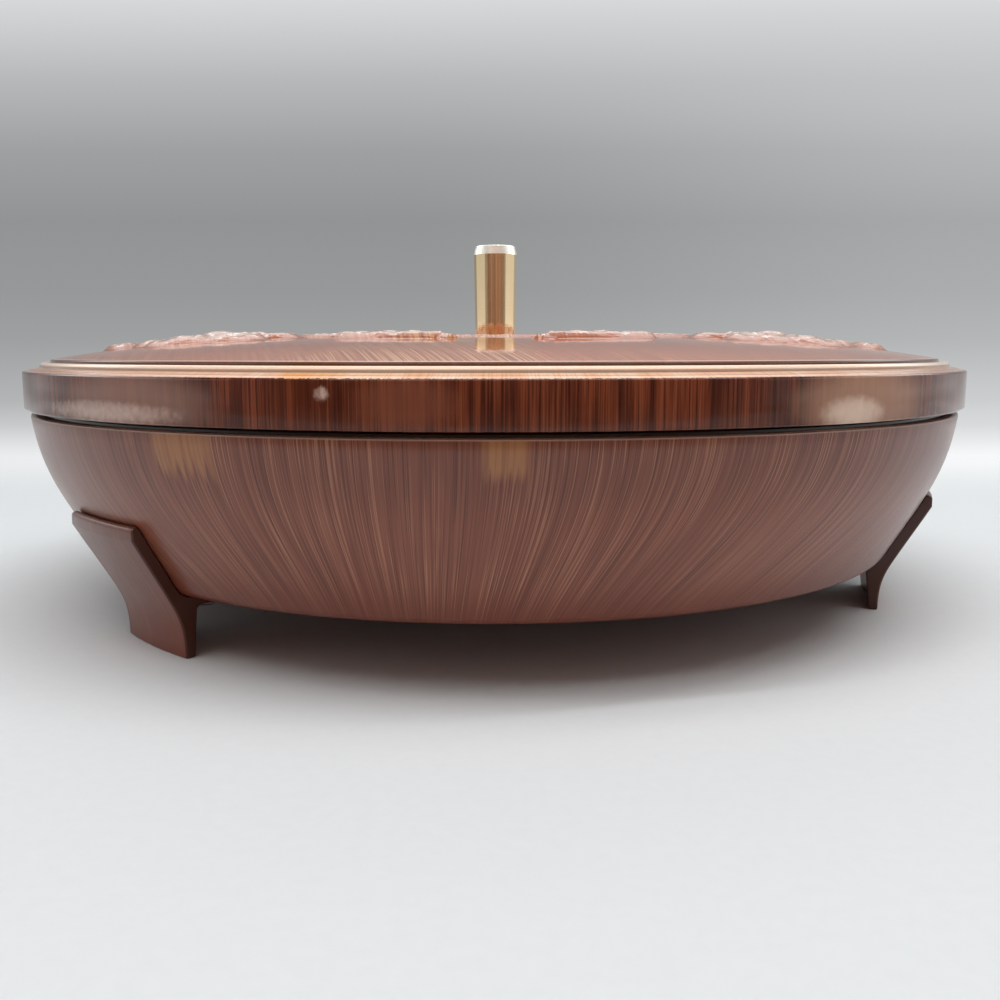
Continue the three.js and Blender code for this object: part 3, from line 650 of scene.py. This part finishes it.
def insert_plastic():
    """Dark brown plastic with a fine grain, semi-gloss."""
    s = Shader("insert_plastic", Coat_Weight=0.3, Coat_Roughness=0.2)
    grain = s.patches(0.8, detail=2.0)
    colour = s.blend(s.patches(35), *INSERT_COLOURS)
    s.set(Base_Color=colour, Roughness=s.sum(0.30, s.times(grain, 0.12)))
    s.bump(grain, 0.02)
    return s.material


def gold():
    """Gold coloured plating with faint rings from polishing, paler and duller on the top collar, where
    the paleness is a painted highlight.
    """
    s = Shader("gold_plate", Metallic=1)
    rings = s.noise(s.vector("MULTIPLY", s.place, (0.02, 0.02, 3)))
    colour = s.blend(s.patches(6), *GOLD_COLOURS)
    # A painted highlight: the top collar is paler and duller.
    collar = s.step(s.z, KNOB_TOP - KNOB_COLLAR - 0.1, KNOB_TOP - KNOB_COLLAR + 0.1)
    colour = s.blend(collar, colour, COLLAR_HIGHLIGHT)
    polish = s.sum(0.07, s.times(rings, 0.08))
    s.set(Base_Color=colour, Roughness=s.sum(polish, s.times(collar, 0.28)))
    s.bump(rings, 0.01)
    return s.material


def zinc():
    """Dull zinc plating."""
    s = Shader("zinc_plate", Metallic=1)
    grain = s.patches(0.5)
    colour = s.blend(grain, *ZINC_COLOURS)
    s.set(Base_Color=colour, Roughness=s.sum(0.28, s.times(grain, 0.2)))
    s.bump(grain, 0.02)
    return s.material


def bowl_outer_line():
    """The bowl's outer wall, from its underside up to its rim."""
    set_back = CORNER_RADIUS * math.tan((math.pi / 2 - WALL_LEAN) / 2)
    centre = (BASE_RADIUS - set_back, BASE_HEIGHT + CORNER_RADIUS)
    corner = arc(centre, CORNER_RADIUS, -math.pi / 2, -WALL_LEAN, CORNER_STEPS)
    low, high = np.array(corner[-1]), np.array((RIM_RADIUS, RIM_HEIGHT))
    along_wall = polar(LOWER_PULL, math.pi / 2 - WALL_LEAN)
    along_rim = polar(UPPER_PULL, math.pi / 2 - RIM_LEAN)
    return corner + bezier(low, low + along_wall, high - along_rim, high, WALL_STEPS)[1:]


OUTER_LINE = bowl_outer_line()
INNER_LINE = offset_line(OUTER_LINE, WALL)
MOUTH_RADIUS = radius_at(INNER_LINE, RIM_HEIGHT)
LEDGE_HEIGHT = RIM_HEIGHT - LEDGE_DROP
LEDGE_RADIUS = MOUTH_RADIUS - LEDGE_WIDTH
FLANGE_RADIUS = MOUTH_RADIUS - FLANGE_PLAY
FLANGE_BOTTOM = LEDGE_HEIGHT + SEAT_GAP
FLANGE_TOP = FLANGE_BOTTOM + FLANGE_THICKNESS
DIVIDERS_TOP = FLANGE_TOP - DIVIDER_DROP


def screw_places(azimuth, height):
    return [place(azimuth + side, SCREW_CIRCLE, height) for side in (-SCREW_SPREAD, SCREW_SPREAD)]


def make_bowl(material):
    ledge_underside = LEDGE_HEIGHT - LEDGE_THICKNESS
    taper = ledge_underside - LEDGE_TAPER
    inside = [p for p in INNER_LINE if FLOOR_HEIGHT < p[1] < taper][::-1]
    section = [
        (0, BASE_HEIGHT),
        *OUTER_LINE[:-2],
        *[(RIM_RADIUS - inwards, RIM_HEIGHT - down) for inwards, down in RIM_ROUNDING],
        (MOUTH_RADIUS + MOUTH_BEVEL, RIM_HEIGHT),
        (MOUTH_RADIUS, RIM_HEIGHT - MOUTH_BEVEL),
        (MOUTH_RADIUS, LEDGE_HEIGHT),
        (LEDGE_RADIUS, LEDGE_HEIGHT),
        (LEDGE_RADIUS, ledge_underside),
        (radius_at(INNER_LINE, taper), taper),
        *inside,
        (radius_at(INNER_LINE, FLOOR_HEIGHT), FLOOR_HEIGHT),
        (0, FLOOR_HEIGHT),
    ]
    bowl = new_object("bowl_painted", *revolve(section, BODY_STEPS), material)
    top = BOSS_ROOT + BOSS_HEIGHT
    profile = [
        (0, 0),
        (BOSS_RADIUS, 0),
        (BOSS_RADIUS, top - BOSS_BEVEL),
        (BOSS_RADIUS - BOSS_BEVEL, top),
        (0, top),
    ]
    vertices, faces = revolve(profile, BOSS_STEPS)
    for azimuth in FEET.values():
        for at in screw_places(azimuth, FLOOR_HEIGHT - BOSS_ROOT):
            combine(bowl, new_object("boss", np.array(vertices) + at, faces, material), "UNION")
    return bowl


def corner_inset(radius, above):
    """How far a rounded floor corner draws a wall in, at a height above that floor."""
    reach = radius - min(max(above, 0), radius)
    return radius - math.sqrt(radius**2 - reach**2)


def wall_heights(bottom, corner, top):
    curve = [p[1] for p in arc((0, bottom + corner), corner, -math.pi / 2, 0, 8)]
    return [*curve, *np.linspace(bottom + corner, top, 5)[1:]]


def insert_wall_radius(height):
    return min(LEDGE_RADIUS, radius_at(INNER_LINE, height)) - INSERT_PLAY


def pocket_radius(height):
    corner = INSERT_CORNER - INSERT_WALL
    return insert_wall_radius(height) - INSERT_WALL - corner_inset(corner, height - POCKET_BOTTOM)


def draft_at(height):
    """How much further each face of a divider stands out at a height than at its top."""
    return math.tan(DRAFT) * (DIVIDERS_TOP - height)


def make_tray(material):
    outside = []
    for height in wall_heights(INSERT_BOTTOM, INSERT_CORNER, FLANGE_BOTTOM):
        rounding = corner_inset(INSERT_CORNER, height - INSERT_BOTTOM)
        outside.append((insert_wall_radius(height) - rounding, height))
    heights = wall_heights(POCKET_BOTTOM, INSERT_CORNER - INSERT_WALL, DIVIDERS_TOP)
    inside = [(pocket_radius(height), height) for height in heights][::-1]
    mouth = pocket_radius(FLANGE_TOP)
    round_height = FLANGE_TOP - FLANGE_ROUND
    section = [
        (0, INSERT_BOTTOM),
        *outside,
        (FLANGE_RADIUS, FLANGE_BOTTOM),
        *arc((FLANGE_RADIUS - FLANGE_ROUND, round_height), FLANGE_ROUND, 0, math.pi / 2, 3),
        *arc((mouth + FLANGE_ROUND, round_height), FLANGE_ROUND, math.pi / 2, math.pi, 3),
        *inside,
        (0, POCKET_BOTTOM),
    ]
    return new_object("tray_moulding", *revolve(section, BODY_STEPS), material)


def make_middle_ring(material):
    draft = draft_at(POCKET_BOTTOM)
    outer = MIDDLE_RADIUS + DIVIDER
    top = DIVIDERS_TOP - DIVIDER_ROUND
    section = [
        (MIDDLE_RADIUS - draft, POCKET_BOTTOM),
        (outer + draft, POCKET_BOTTOM),
        *arc((outer - DIVIDER_ROUND, top), DIVIDER_ROUND, 0, math.pi / 2, 4),
        *arc((MIDDLE_RADIUS + DIVIDER_ROUND, top), DIVIDER_ROUND, math.pi / 2, math.pi, 4),
    ]
    return new_object("ring_moulding", *revolve(section, RING_STEPS), material)


def make_divider(number, material):
    azimuth = (number + 0.5) * 2 * math.pi / COMPARTMENTS
    along, aside = np.array(place(azimuth, 1, 0)), np.array(place(azimuth + math.pi / 2, 1, 0))
    heights = wall_heights(POCKET_BOTTOM, INSERT_CORNER - INSERT_WALL, DIVIDERS_TOP - DIVIDER_ROUND)
    edge = arc((0, heights[-1]), DIVIDER_ROUND, 0, math.pi / 2, 4)[1:]
    rings = []
    for height, inset in [(h, 0) for h in heights] + [(h, DIVIDER_ROUND - x) for x, h in edge]:
        draft = draft_at(height)
        inner = MIDDLE_RADIUS + DIVIDER + draft + DIVIDER_GAP
        outer = pocket_radius(height) - DIVIDER_GAP
        half = DIVIDER / 2 + draft - inset
        corners = [(inner, -half), (outer, -half), (outer, half), (inner, half)]
        rings.append([tuple(along * x + aside * y + (0, 0, height)) for x, y in corners])
    return new_object(f"divider_moulding_{number + 1}", *loft(rings), material)


def crown_height(radius):
    return DISC_TOP + CROWN_RISE * (1 - (radius / DISC_RADIUS) ** CROWN_POWER)


def flower(x, y, azimuth):
    """A raised flower with two rows of petals round a bud."""
    cx, cy, _ = place(azimuth, FLOWER_DISTANCE, 0)
    distance, angle = np.hypot(x - cx, y - cy), np.arctan2(y - cy, x - cx) - azimuth
    raised = np.zeros_like(x)
    for reach, turn, rise in PETAL_ROWS:
        petal = np.abs(np.cos(PETALS / 2 * (angle + turn)))
        rim = 1 - PETAL_NOTCH + PETAL_NOTCH * petal**PETAL_ROUNDNESS
        out = distance / reach
        inside = np.clip((rim - out) * PETAL_STEEPNESS, 0, 1)
        vein = PETAL_VEIN[0] * np.exp(-((petal - 1) ** 2) / PETAL_VEIN[1])
        lifted = rise * inside * (PETAL_DISH[0] + PETAL_DISH[1] * out - vein)
        raised = np.where(inside > 0, np.maximum(raised * (inside < 1), lifted), raised)
    bud = np.clip(1 - (distance / BUD_RADIUS) ** 2, 0, 1) ** BUD_FULLNESS
    return np.maximum(raised, BUD_RISE * bud)


def leaf(x, y, line, side, aside, distance, length, width, heading):
    """A bent leaf with a groove along its middle, on one side of a line at an azimuth."""
    azimuth = line + side * aside
    outwards, tangent = place(azimuth, 1, 0), place(azimuth + side * math.pi / 2, 1, 0)
    out = x * outwards[0] + y * outwards[1] - distance
    sideways = x * tangent[0] + y * tangent[1]
    along = (sideways * math.cos(heading) + out * math.sin(heading)) / (length / 2)
    across = (out * math.cos(heading) - sideways * math.sin(heading)) / (width / 2)
    fullness = np.clip(1 - along**2, 0, 1)
    across = across - 2 * LEAF_BEND * fullness
    half = np.maximum(fullness * (1 - LEAF_TAPER * along), 1e-3)
    inside = np.where(fullness > 0, np.clip(1 - np.abs(across) / half, 0, 1), 0)
    depth, number, slant = LEAF_VEINS
    veins = depth * np.sin(number * along - slant * np.abs(across))
    groove = LEAF_GROOVE[0] * np.exp(-((across / LEAF_GROOVE[1]) ** 2))
    dished = LEAF_DISH[0] + LEAF_DISH[1] * inside + veins * inside - groove
    return LEAF_RISE * np.minimum(1, LEAF_STEEPNESS * inside) * dished


def relief(x, y):
    """The height of the raised flowers, leaves and stems over the dome."""
    azimuth, radius = np.arctan2(x, -y), np.hypot(x, y)
    raised = np.zeros_like(x)
    for middle, swing, waves, rise in STEMS:
        aside = (radius - middle - swing * np.cos(waves * azimuth)) / STEM_HALF_WIDTH
        raised = np.maximum(raised, rise * np.sqrt(np.clip(1 - aside**2, 0, 1)))
    # Towards the front the outer stems sink wholly, from 50 to 40 degrees off it. The inner ones
    # sink by a third from 20 degrees on.
    turned = np.abs(azimuth) / DEGREES / 10
    outer, inner = np.clip(turned - 4, 0, 1), np.clip(turned - 1, INNER_STEMS_LEFT, 1)
    raised *= np.where(radius > OUTER_STEMS, outer, inner)
    for number in range(FLOWERS):
        line = (number + 0.5) * 2 * math.pi / FLOWERS
        raised = np.maximum(raised, flower(x, y, line))
        for side in (-1, 1):
            for shape in (OUTER_LEAF, INNER_LEAF):
                raised = np.maximum(raised, leaf(x, y, line + math.pi / FLOWERS, side, *shape))
            if math.cos(line + side * SPRAY_LEAF[0]) < math.cos(PLAIN_FRONT):
                raised = np.maximum(raised, leaf(x, y, line, side, *SPRAY_LEAF))
    return raised


def make_lid(skirt, dome):
    bead = arc(BEAD_CENTRE, BEAD_RADIUS, 0, BEAD_TURN, 12)
    riser = DISC_RADIUS + DISC_ROUND
    crown = [(r, crown_height(r)) for r in np.linspace(DISC_RADIUS, KNOB_SEAT + 0.2, 130)]
    below = np.linspace(KNOB_SEAT, UNDERSIDE_REACH, 24)
    underside = [(r, crown_height(r) - LID_WALL) for r in below]
    seat = FLANGE_RADIUS - SEAT_RING_INSET
    ring = pocket_radius(FLANGE_TOP) - CENTRING_PLAY
    under = DISC_TOP - LID_WALL
    edge = LID_RADIUS - SKIRT_ROUND
    section = [
        (LID_RADIUS - LID_WALL, LID_BOTTOM),
        *arc((edge, LID_BOTTOM + SKIRT_ROUND), SKIRT_ROUND, -math.pi / 2, 0, 4),
        *arc((edge, SKIRT_TOP - SKIRT_ROUND), SKIRT_ROUND, 0, math.pi / 2, 4),
        *LIP_SLOPE,
        (LIP_RADIUS, LIP_TOP),
        *bead,
        (riser, bead[-1][1]),
        *arc((DISC_RADIUS, DISC_TOP - DISC_ROUND), DISC_ROUND, 0, math.pi / 2, 3)[:-1],
        *crown,
        (KNOB_SEAT - 0.1, CROWN_TOP),
        (SCREW_HOLE, CROWN_TOP),
        (SCREW_HOLE, CROWN_TOP - LID_WALL),
        (WASHER_SEAT, CROWN_TOP - LID_WALL),
        *underside,
        (ring - RING_THICKNESS, under),
        (ring - RING_THICKNESS, LID_BOTTOM - CENTRING_REACH),
        (ring, LID_BOTTOM - CENTRING_REACH),
        (ring, under),
        (seat - RING_THICKNESS, under),
        (seat - RING_THICKNESS, LID_BOTTOM),
        (seat, LID_BOTTOM),
        (seat, SKIRT_TOP - LID_WALL),
        (LID_RADIUS - LID_WALL, SKIRT_TOP - LID_WALL),
    ]
    vertices, faces = revolve(section, LID_STEPS)
    vertices = np.array(vertices)
    radius = np.hypot(vertices[:, 0], vertices[:, 1])
    top = (radius < DISC_RADIUS + 0.1) & (vertices[:, 2] > DISC_TOP - 0.01)
    vertices[top, 2] += relief(vertices[top, 0], vertices[top, 1])
    lid = new_object("lid_painted", vertices, faces, skirt)
    lid.data.materials.append(dome)
    on_dome = [all(top[v] for v in face) for face in faces]
    lid.data.polygons.foreach_set("material_index", np.array(on_dome, np.int32))
    return lid


def make_knob(material):
    foot = CROWN_TOP
    collar = KNOB_TOP - KNOB_COLLAR
    inner = KNOB_FOOT - KNOB_FOOT_INSET
    section = [
        (0, foot),
        (inner, foot),
        *arc((inner, foot + KNOB_FOOT_ROUND), KNOB_FOOT_ROUND, -math.pi / 2, 0, 3)[1:],
        *[(KNOB_FOOT + out, foot + height) for out, height in KNOB_SHAFT],
        (KNOB_RADIUS - KNOB_NECK[0], collar - KNOB_NECK[1]),
        (KNOB_RADIUS, collar),
        *[(KNOB_RADIUS - inwards, KNOB_TOP - down) for inwards, down in KNOB_CROWN],
        (0, KNOB_TOP),
    ]
    return new_object("knob_polished", *revolve(section, KNOB_STEPS), material, sharp=12 * DEGREES)


def make_screw(name, at, sizes, material):
    """An upright screw with its head below and a cross slot in it."""
    shank, length, head, head_height = sizes
    round_radius = head_height * HEAD_ROUNDING
    section = [
        (0, -head_height),
        *arc((head - round_radius, round_radius - head_height), round_radius, -math.pi / 2, 0, 6),
        (head, 0),
        (shank, 0),
        (shank, length - shank / 2),
        (shank / 2, length),
        (0, length),
    ]
    vertices, faces = revolve(section, SCREW_STEPS)
    screw = new_object(name, np.array(vertices) + at, faces, material)
    arm, half = head - SLOT_MARGIN, SLOT_WIDTH / 2
    corners = [(-arm, -half), (arm, -half), (arm, half), (-arm, half)]
    for turn in (0, math.pi / 2):
        along, across = polar(1, turn), polar(1, turn + math.pi / 2)
        outline = [along * x + across * y for x, y in corners]
        rings = []
        for height in (-head_height - 1, -head_height + SLOT_DEPTH):
            rings.append([(at[0] + x, at[1] + y, at[2] + height) for x, y in outline])
        combine(screw, new_object("slot", *loft(rings), material), "DIFFERENCE")
    return screw


def foot_section():
    """A foot's section: shin, tongue up the bowl's wall, and tab under the bowl."""
    face = offset_line(OUTER_LINE, -FOOT_TONGUE)
    back = offset_line(OUTER_LINE, -FOOT_GAP)
    knee = np.array(face[CORNER_STEPS])
    slope = polar(KNEE_PULL, math.pi / 2 - WALL_LEAN)
    start = np.array((FOOT_FLOOR_RADIUS, 0))
    shin = bezier(start, start + (0, SHIN_PULL), knee - slope, knee, 16)
    upright = FOOT_TIP - FOOT_UPRIGHT
    tip = radius_at(face, upright)
    tongue = [p for p in face[CORNER_STEPS + 1 :] if p[1] < upright]
    seat = [p for p in back if p[1] < FOOT_TIP][::-1]
    inner = FOOT_BACK_RADIUS - TAB_REACH
    fillet = (FOOT_BACK_RADIUS - TAB_FILLET, TAB_BOTTOM - TAB_FILLET)
    return [
        *shin,
        *tongue,
        (tip, upright),
        (tip, FOOT_TIP - FOOT_TIP_BEVEL),
        (tip - FOOT_TIP_BEVEL, FOOT_TIP),
        (radius_at(back, FOOT_TIP), FOOT_TIP),
        *seat,
        (back[0][0] - TAB_GAP, BASE_HEIGHT),
        (inner, BASE_HEIGHT),
        (inner, TAB_BOTTOM),
        *arc(fillet, TAB_FILLET, math.pi / 2, 0, 6),
        (FOOT_FLOOR_RADIUS - FOOT_SOLE, 0),
    ]


def make_foot(name, azimuth, material):
    section = foot_section()
    turns = np.linspace(azimuth - FOOT_SWEEP / 2, azimuth + FOOT_SWEEP / 2, FOOT_STEPS + 1)
    rings = [[place(turn, *p) for p in section] for turn in turns]
    foot = new_object(name, *loft(rings), material)
    bevel = foot.modifiers.new("edges", "BEVEL")
    bevel.width = FOOT_BEVEL * MM
    bevel.segments = 2
    bevel.limit_method = "ANGLE"
    bevel.angle_limit = SHARP
    return foot


def build_dish():
    settle(make_bowl(bowl_paint()), "base", "bowl_wood", "bowl")
    steel = zinc()
    paint = foot_paint()
    for name, azimuth in FEET.items():
        settle(make_foot(f"{name}_painted", azimuth, paint), "base", "foot_wood", name)
        for number, at in enumerate(screw_places(azimuth, TAB_BOTTOM), 1):
            screw = make_screw(f"{name}_steel_screw_{number}", at, FOOT_SCREW, steel)
            settle(screw, "base", "screw_steel", f"{name}_screw_{number}")
    plastic = insert_plastic()
    settle(make_tray(plastic), "insert", "insert_plastic", "insert_tray")
    settle(make_middle_ring(plastic), "insert", "insert_plastic", "insert_middle_ring")
    for number in range(COMPARTMENTS):
        divider = make_divider(number, plastic)
        settle(divider, "insert", "insert_plastic", f"insert_divider_{number + 1}")
    settle(make_lid(lid_paint(), dome_paint()), "lid", "lid_wood", "lid")
    settle(make_knob(gold()), "lid", "knob_gold", "knob")
    top = CROWN_TOP - LID_WALL
    bottom = top - WASHER_THICKNESS
    corners = [(SCREW_HOLE, bottom), (WASHER_RADIUS, bottom), (WASHER_RADIUS, top), (SCREW_HOLE, top)]
    section = rounded(corners, WASHER_ROUND)
    washer = new_object("washer_steel", *revolve(section, WASHER_STEPS), steel)
    settle(washer, "lid", "screw_steel", "knob_washer")
    screw = make_screw("knob_steel_screw", (0, 0, bottom), KNOB_SCREW, steel)
    settle(screw, "lid", "screw_steel", "knob_screw")


def show_instead(s, share, glow):
    """Shows a glow in place of the shader's surface, by a share of it."""
    mixed = s.node("ShaderNodeMixShader", share, s.surface.outputs[0], glow.outputs[0])
    s.links.new(mixed.outputs[0], s.nodes["Material Output"].inputs["Surface"])


def paper():
    """Pale paper that glows with the backdrop's greys by height, for the camera and in reflections,
    where it is far behind the dish: painted light and shade on the backdrop.
    """
    s = Shader("paper", Roughness=0.8, Specular_IOR_Level=0.2)
    s.set(Base_Color=s.blend(s.patches(3, detail=2.0), *PAPER_COLOURS))
    ramp = s.node("ShaderNodeValToRGB", s.times(s.z, 0.001))
    while len(ramp.color_ramp.elements) < len(BACKDROP_GLOW):
        ramp.color_ramp.elements.new(0.5)
    for element, (position, grey) in zip(ramp.color_ramp.elements, BACKDROP_GLOW):
        element.position = position
        element.color = (*(grey * cast for cast in GREY_CAST), 1)
    # The backdrop's painted glow is brighter far out at both sides, and towards the right.
    beside = s.times(s.step(s.size(s.x), 620, 900), s.step(s.z, 10, 70))
    paler = s.sum(s.times(s.step(s.z, 5, 45), 0.21), s.times(s.step(s.z, 220, 360), -0.33))
    rightwards = s.times(s.step(s.x, -100, 450), s.sum(0.12, paler))
    strength = s.sum(s.sum(0.98, beside), rightwards)
    glow = s.node("ShaderNodeEmission", ramp.outputs[0], strength)
    path = s.node("ShaderNodeLightPath")
    seen = s.larger(path.outputs["Is Camera Ray"], path.outputs["Is Glossy Ray"])
    far = s.larger(s.step(s.y, 160, 380), s.step(s.z, 2, 22))
    show_instead(s, s.times(seen, far), glow)
    return s.material


def brown_cloth():
    """Brown cloth that the dish reflects. Seen directly it is as pale as the backdrop."""
    s = Shader("brown_cloth", Roughness=0.9)
    folds = s.noise(s.vector("MULTIPLY", s.place, (0.03, 0.002, 0.002)))
    s.set(Base_Color=s.blend(s.step(folds, 0.35, 0.65), *CLOTH_COLOURS))
    glow = s.node("ShaderNodeEmission", (*CLOTH_SEEN, 1), 1.0)
    show_instead(s, s.node("ShaderNodeLightPath").outputs["Is Camera Ray"], glow)
    return s.material


def build_stage():
    """A pale floor that turns up into a backdrop, two wings beside it and a cloth before it."""
    white = paper()
    turns = np.linspace(0, math.pi / 2, 13)
    centre = BACKDROP_DEPTH - BACKDROP_BEND
    curve = [(centre + BACKDROP_BEND * math.sin(a), BACKDROP_BEND * (1 - math.cos(a))) for a in turns]
    line = [(FLOOR_FRONT, 0.0), *curve, (BACKDROP_DEPTH, BACKDROP_HEIGHT)]
    vertices = [(x, y, z) for x in (-FLOOR_HALF_WIDTH, FLOOR_HALF_WIDTH) for y, z in line]
    count = len(line)
    faces = [(i, i + 1, count + i + 1, count + i) for i in range(count - 1)]
    new_object("paper", np.array(vertices) / MM, faces, white)
    outline = [(WING_FRONT, 0.0), (WING_BACK, 0.0), (WING_BACK, WING_HEIGHT), (WING_FRONT, WING_HEIGHT)]
    for name, x in (("left_wing", -WING_PLACE), ("right_wing", WING_PLACE)):
        corners = [(x, y, z) for y, z in outline]
        new_object(name, np.array(corners) / MM, [(0, 1, 2, 3)], white)
    vertices = [(x, y, z) for y, z in CLOTH_LINE for x in (-CLOTH_HALF_WIDTH, CLOTH_HALF_WIDTH)]
    faces = [(i, i + 1, i + 3, i + 2) for i in (0, 2)]
    new_object("brown_card", np.array(vertices) / MM, faces, brown_cloth())


def panel(name, at, size, power):
    """A white lamp panel at a place in metres, turned towards the dish."""
    data = bpy.data.lights.new(name, "AREA")
    data.shape = "RECTANGLE"
    data.size, data.size_y = size
    data.energy = power
    made = bpy.data.objects.new(name, data)
    made.location = at
    made.rotation_euler = (-Vector(at)).to_track_quat("-Z", "Y").to_euler()
    bpy.context.scene.collection.objects.link(made)


def build_lights():
    for name, lamp in LAMPS.items():
        panel(name, *lamp)
    world = bpy.data.worlds.new("room")
    world.use_nodes = True
    world.node_tree.nodes["Background"].inputs["Color"].default_value = (*ROOM_COLOUR, 1)
    bpy.context.scene.world = world


def build_camera():
    """The camera of the photo, with its place fitted to the dish."""
    sin, cos = math.sin, math.cos
    pitch, yaw, roll = CAMERA_PITCH, CAMERA_YAW, CAMERA_ROLL
    ahead = Vector((sin(yaw) * cos(pitch), cos(yaw) * cos(pitch), -sin(pitch)))
    level = Vector((cos(yaw), -sin(yaw), 0))
    upright = level.cross(ahead)
    right = level * cos(roll) + upright * sin(roll)
    up = upright * cos(roll) - level * sin(roll)
    data = bpy.data.cameras.new("photo_camera")
    data.lens = data.sensor_width = CAMERA_LENS
    data.clip_start = 0.01
    camera = bpy.data.objects.new("photo_camera", data)
    turn = Matrix((right, up, -ahead)).transposed().to_4x4()
    camera.matrix_world = Matrix.Translation(CAMERA_PLACE) @ turn
    bpy.context.scene.collection.objects.link(camera)
    bpy.context.scene.camera = camera


bpy.context.scene.view_settings.view_transform = "Standard"
build_dish()
build_stage()
build_lights()
build_camera()
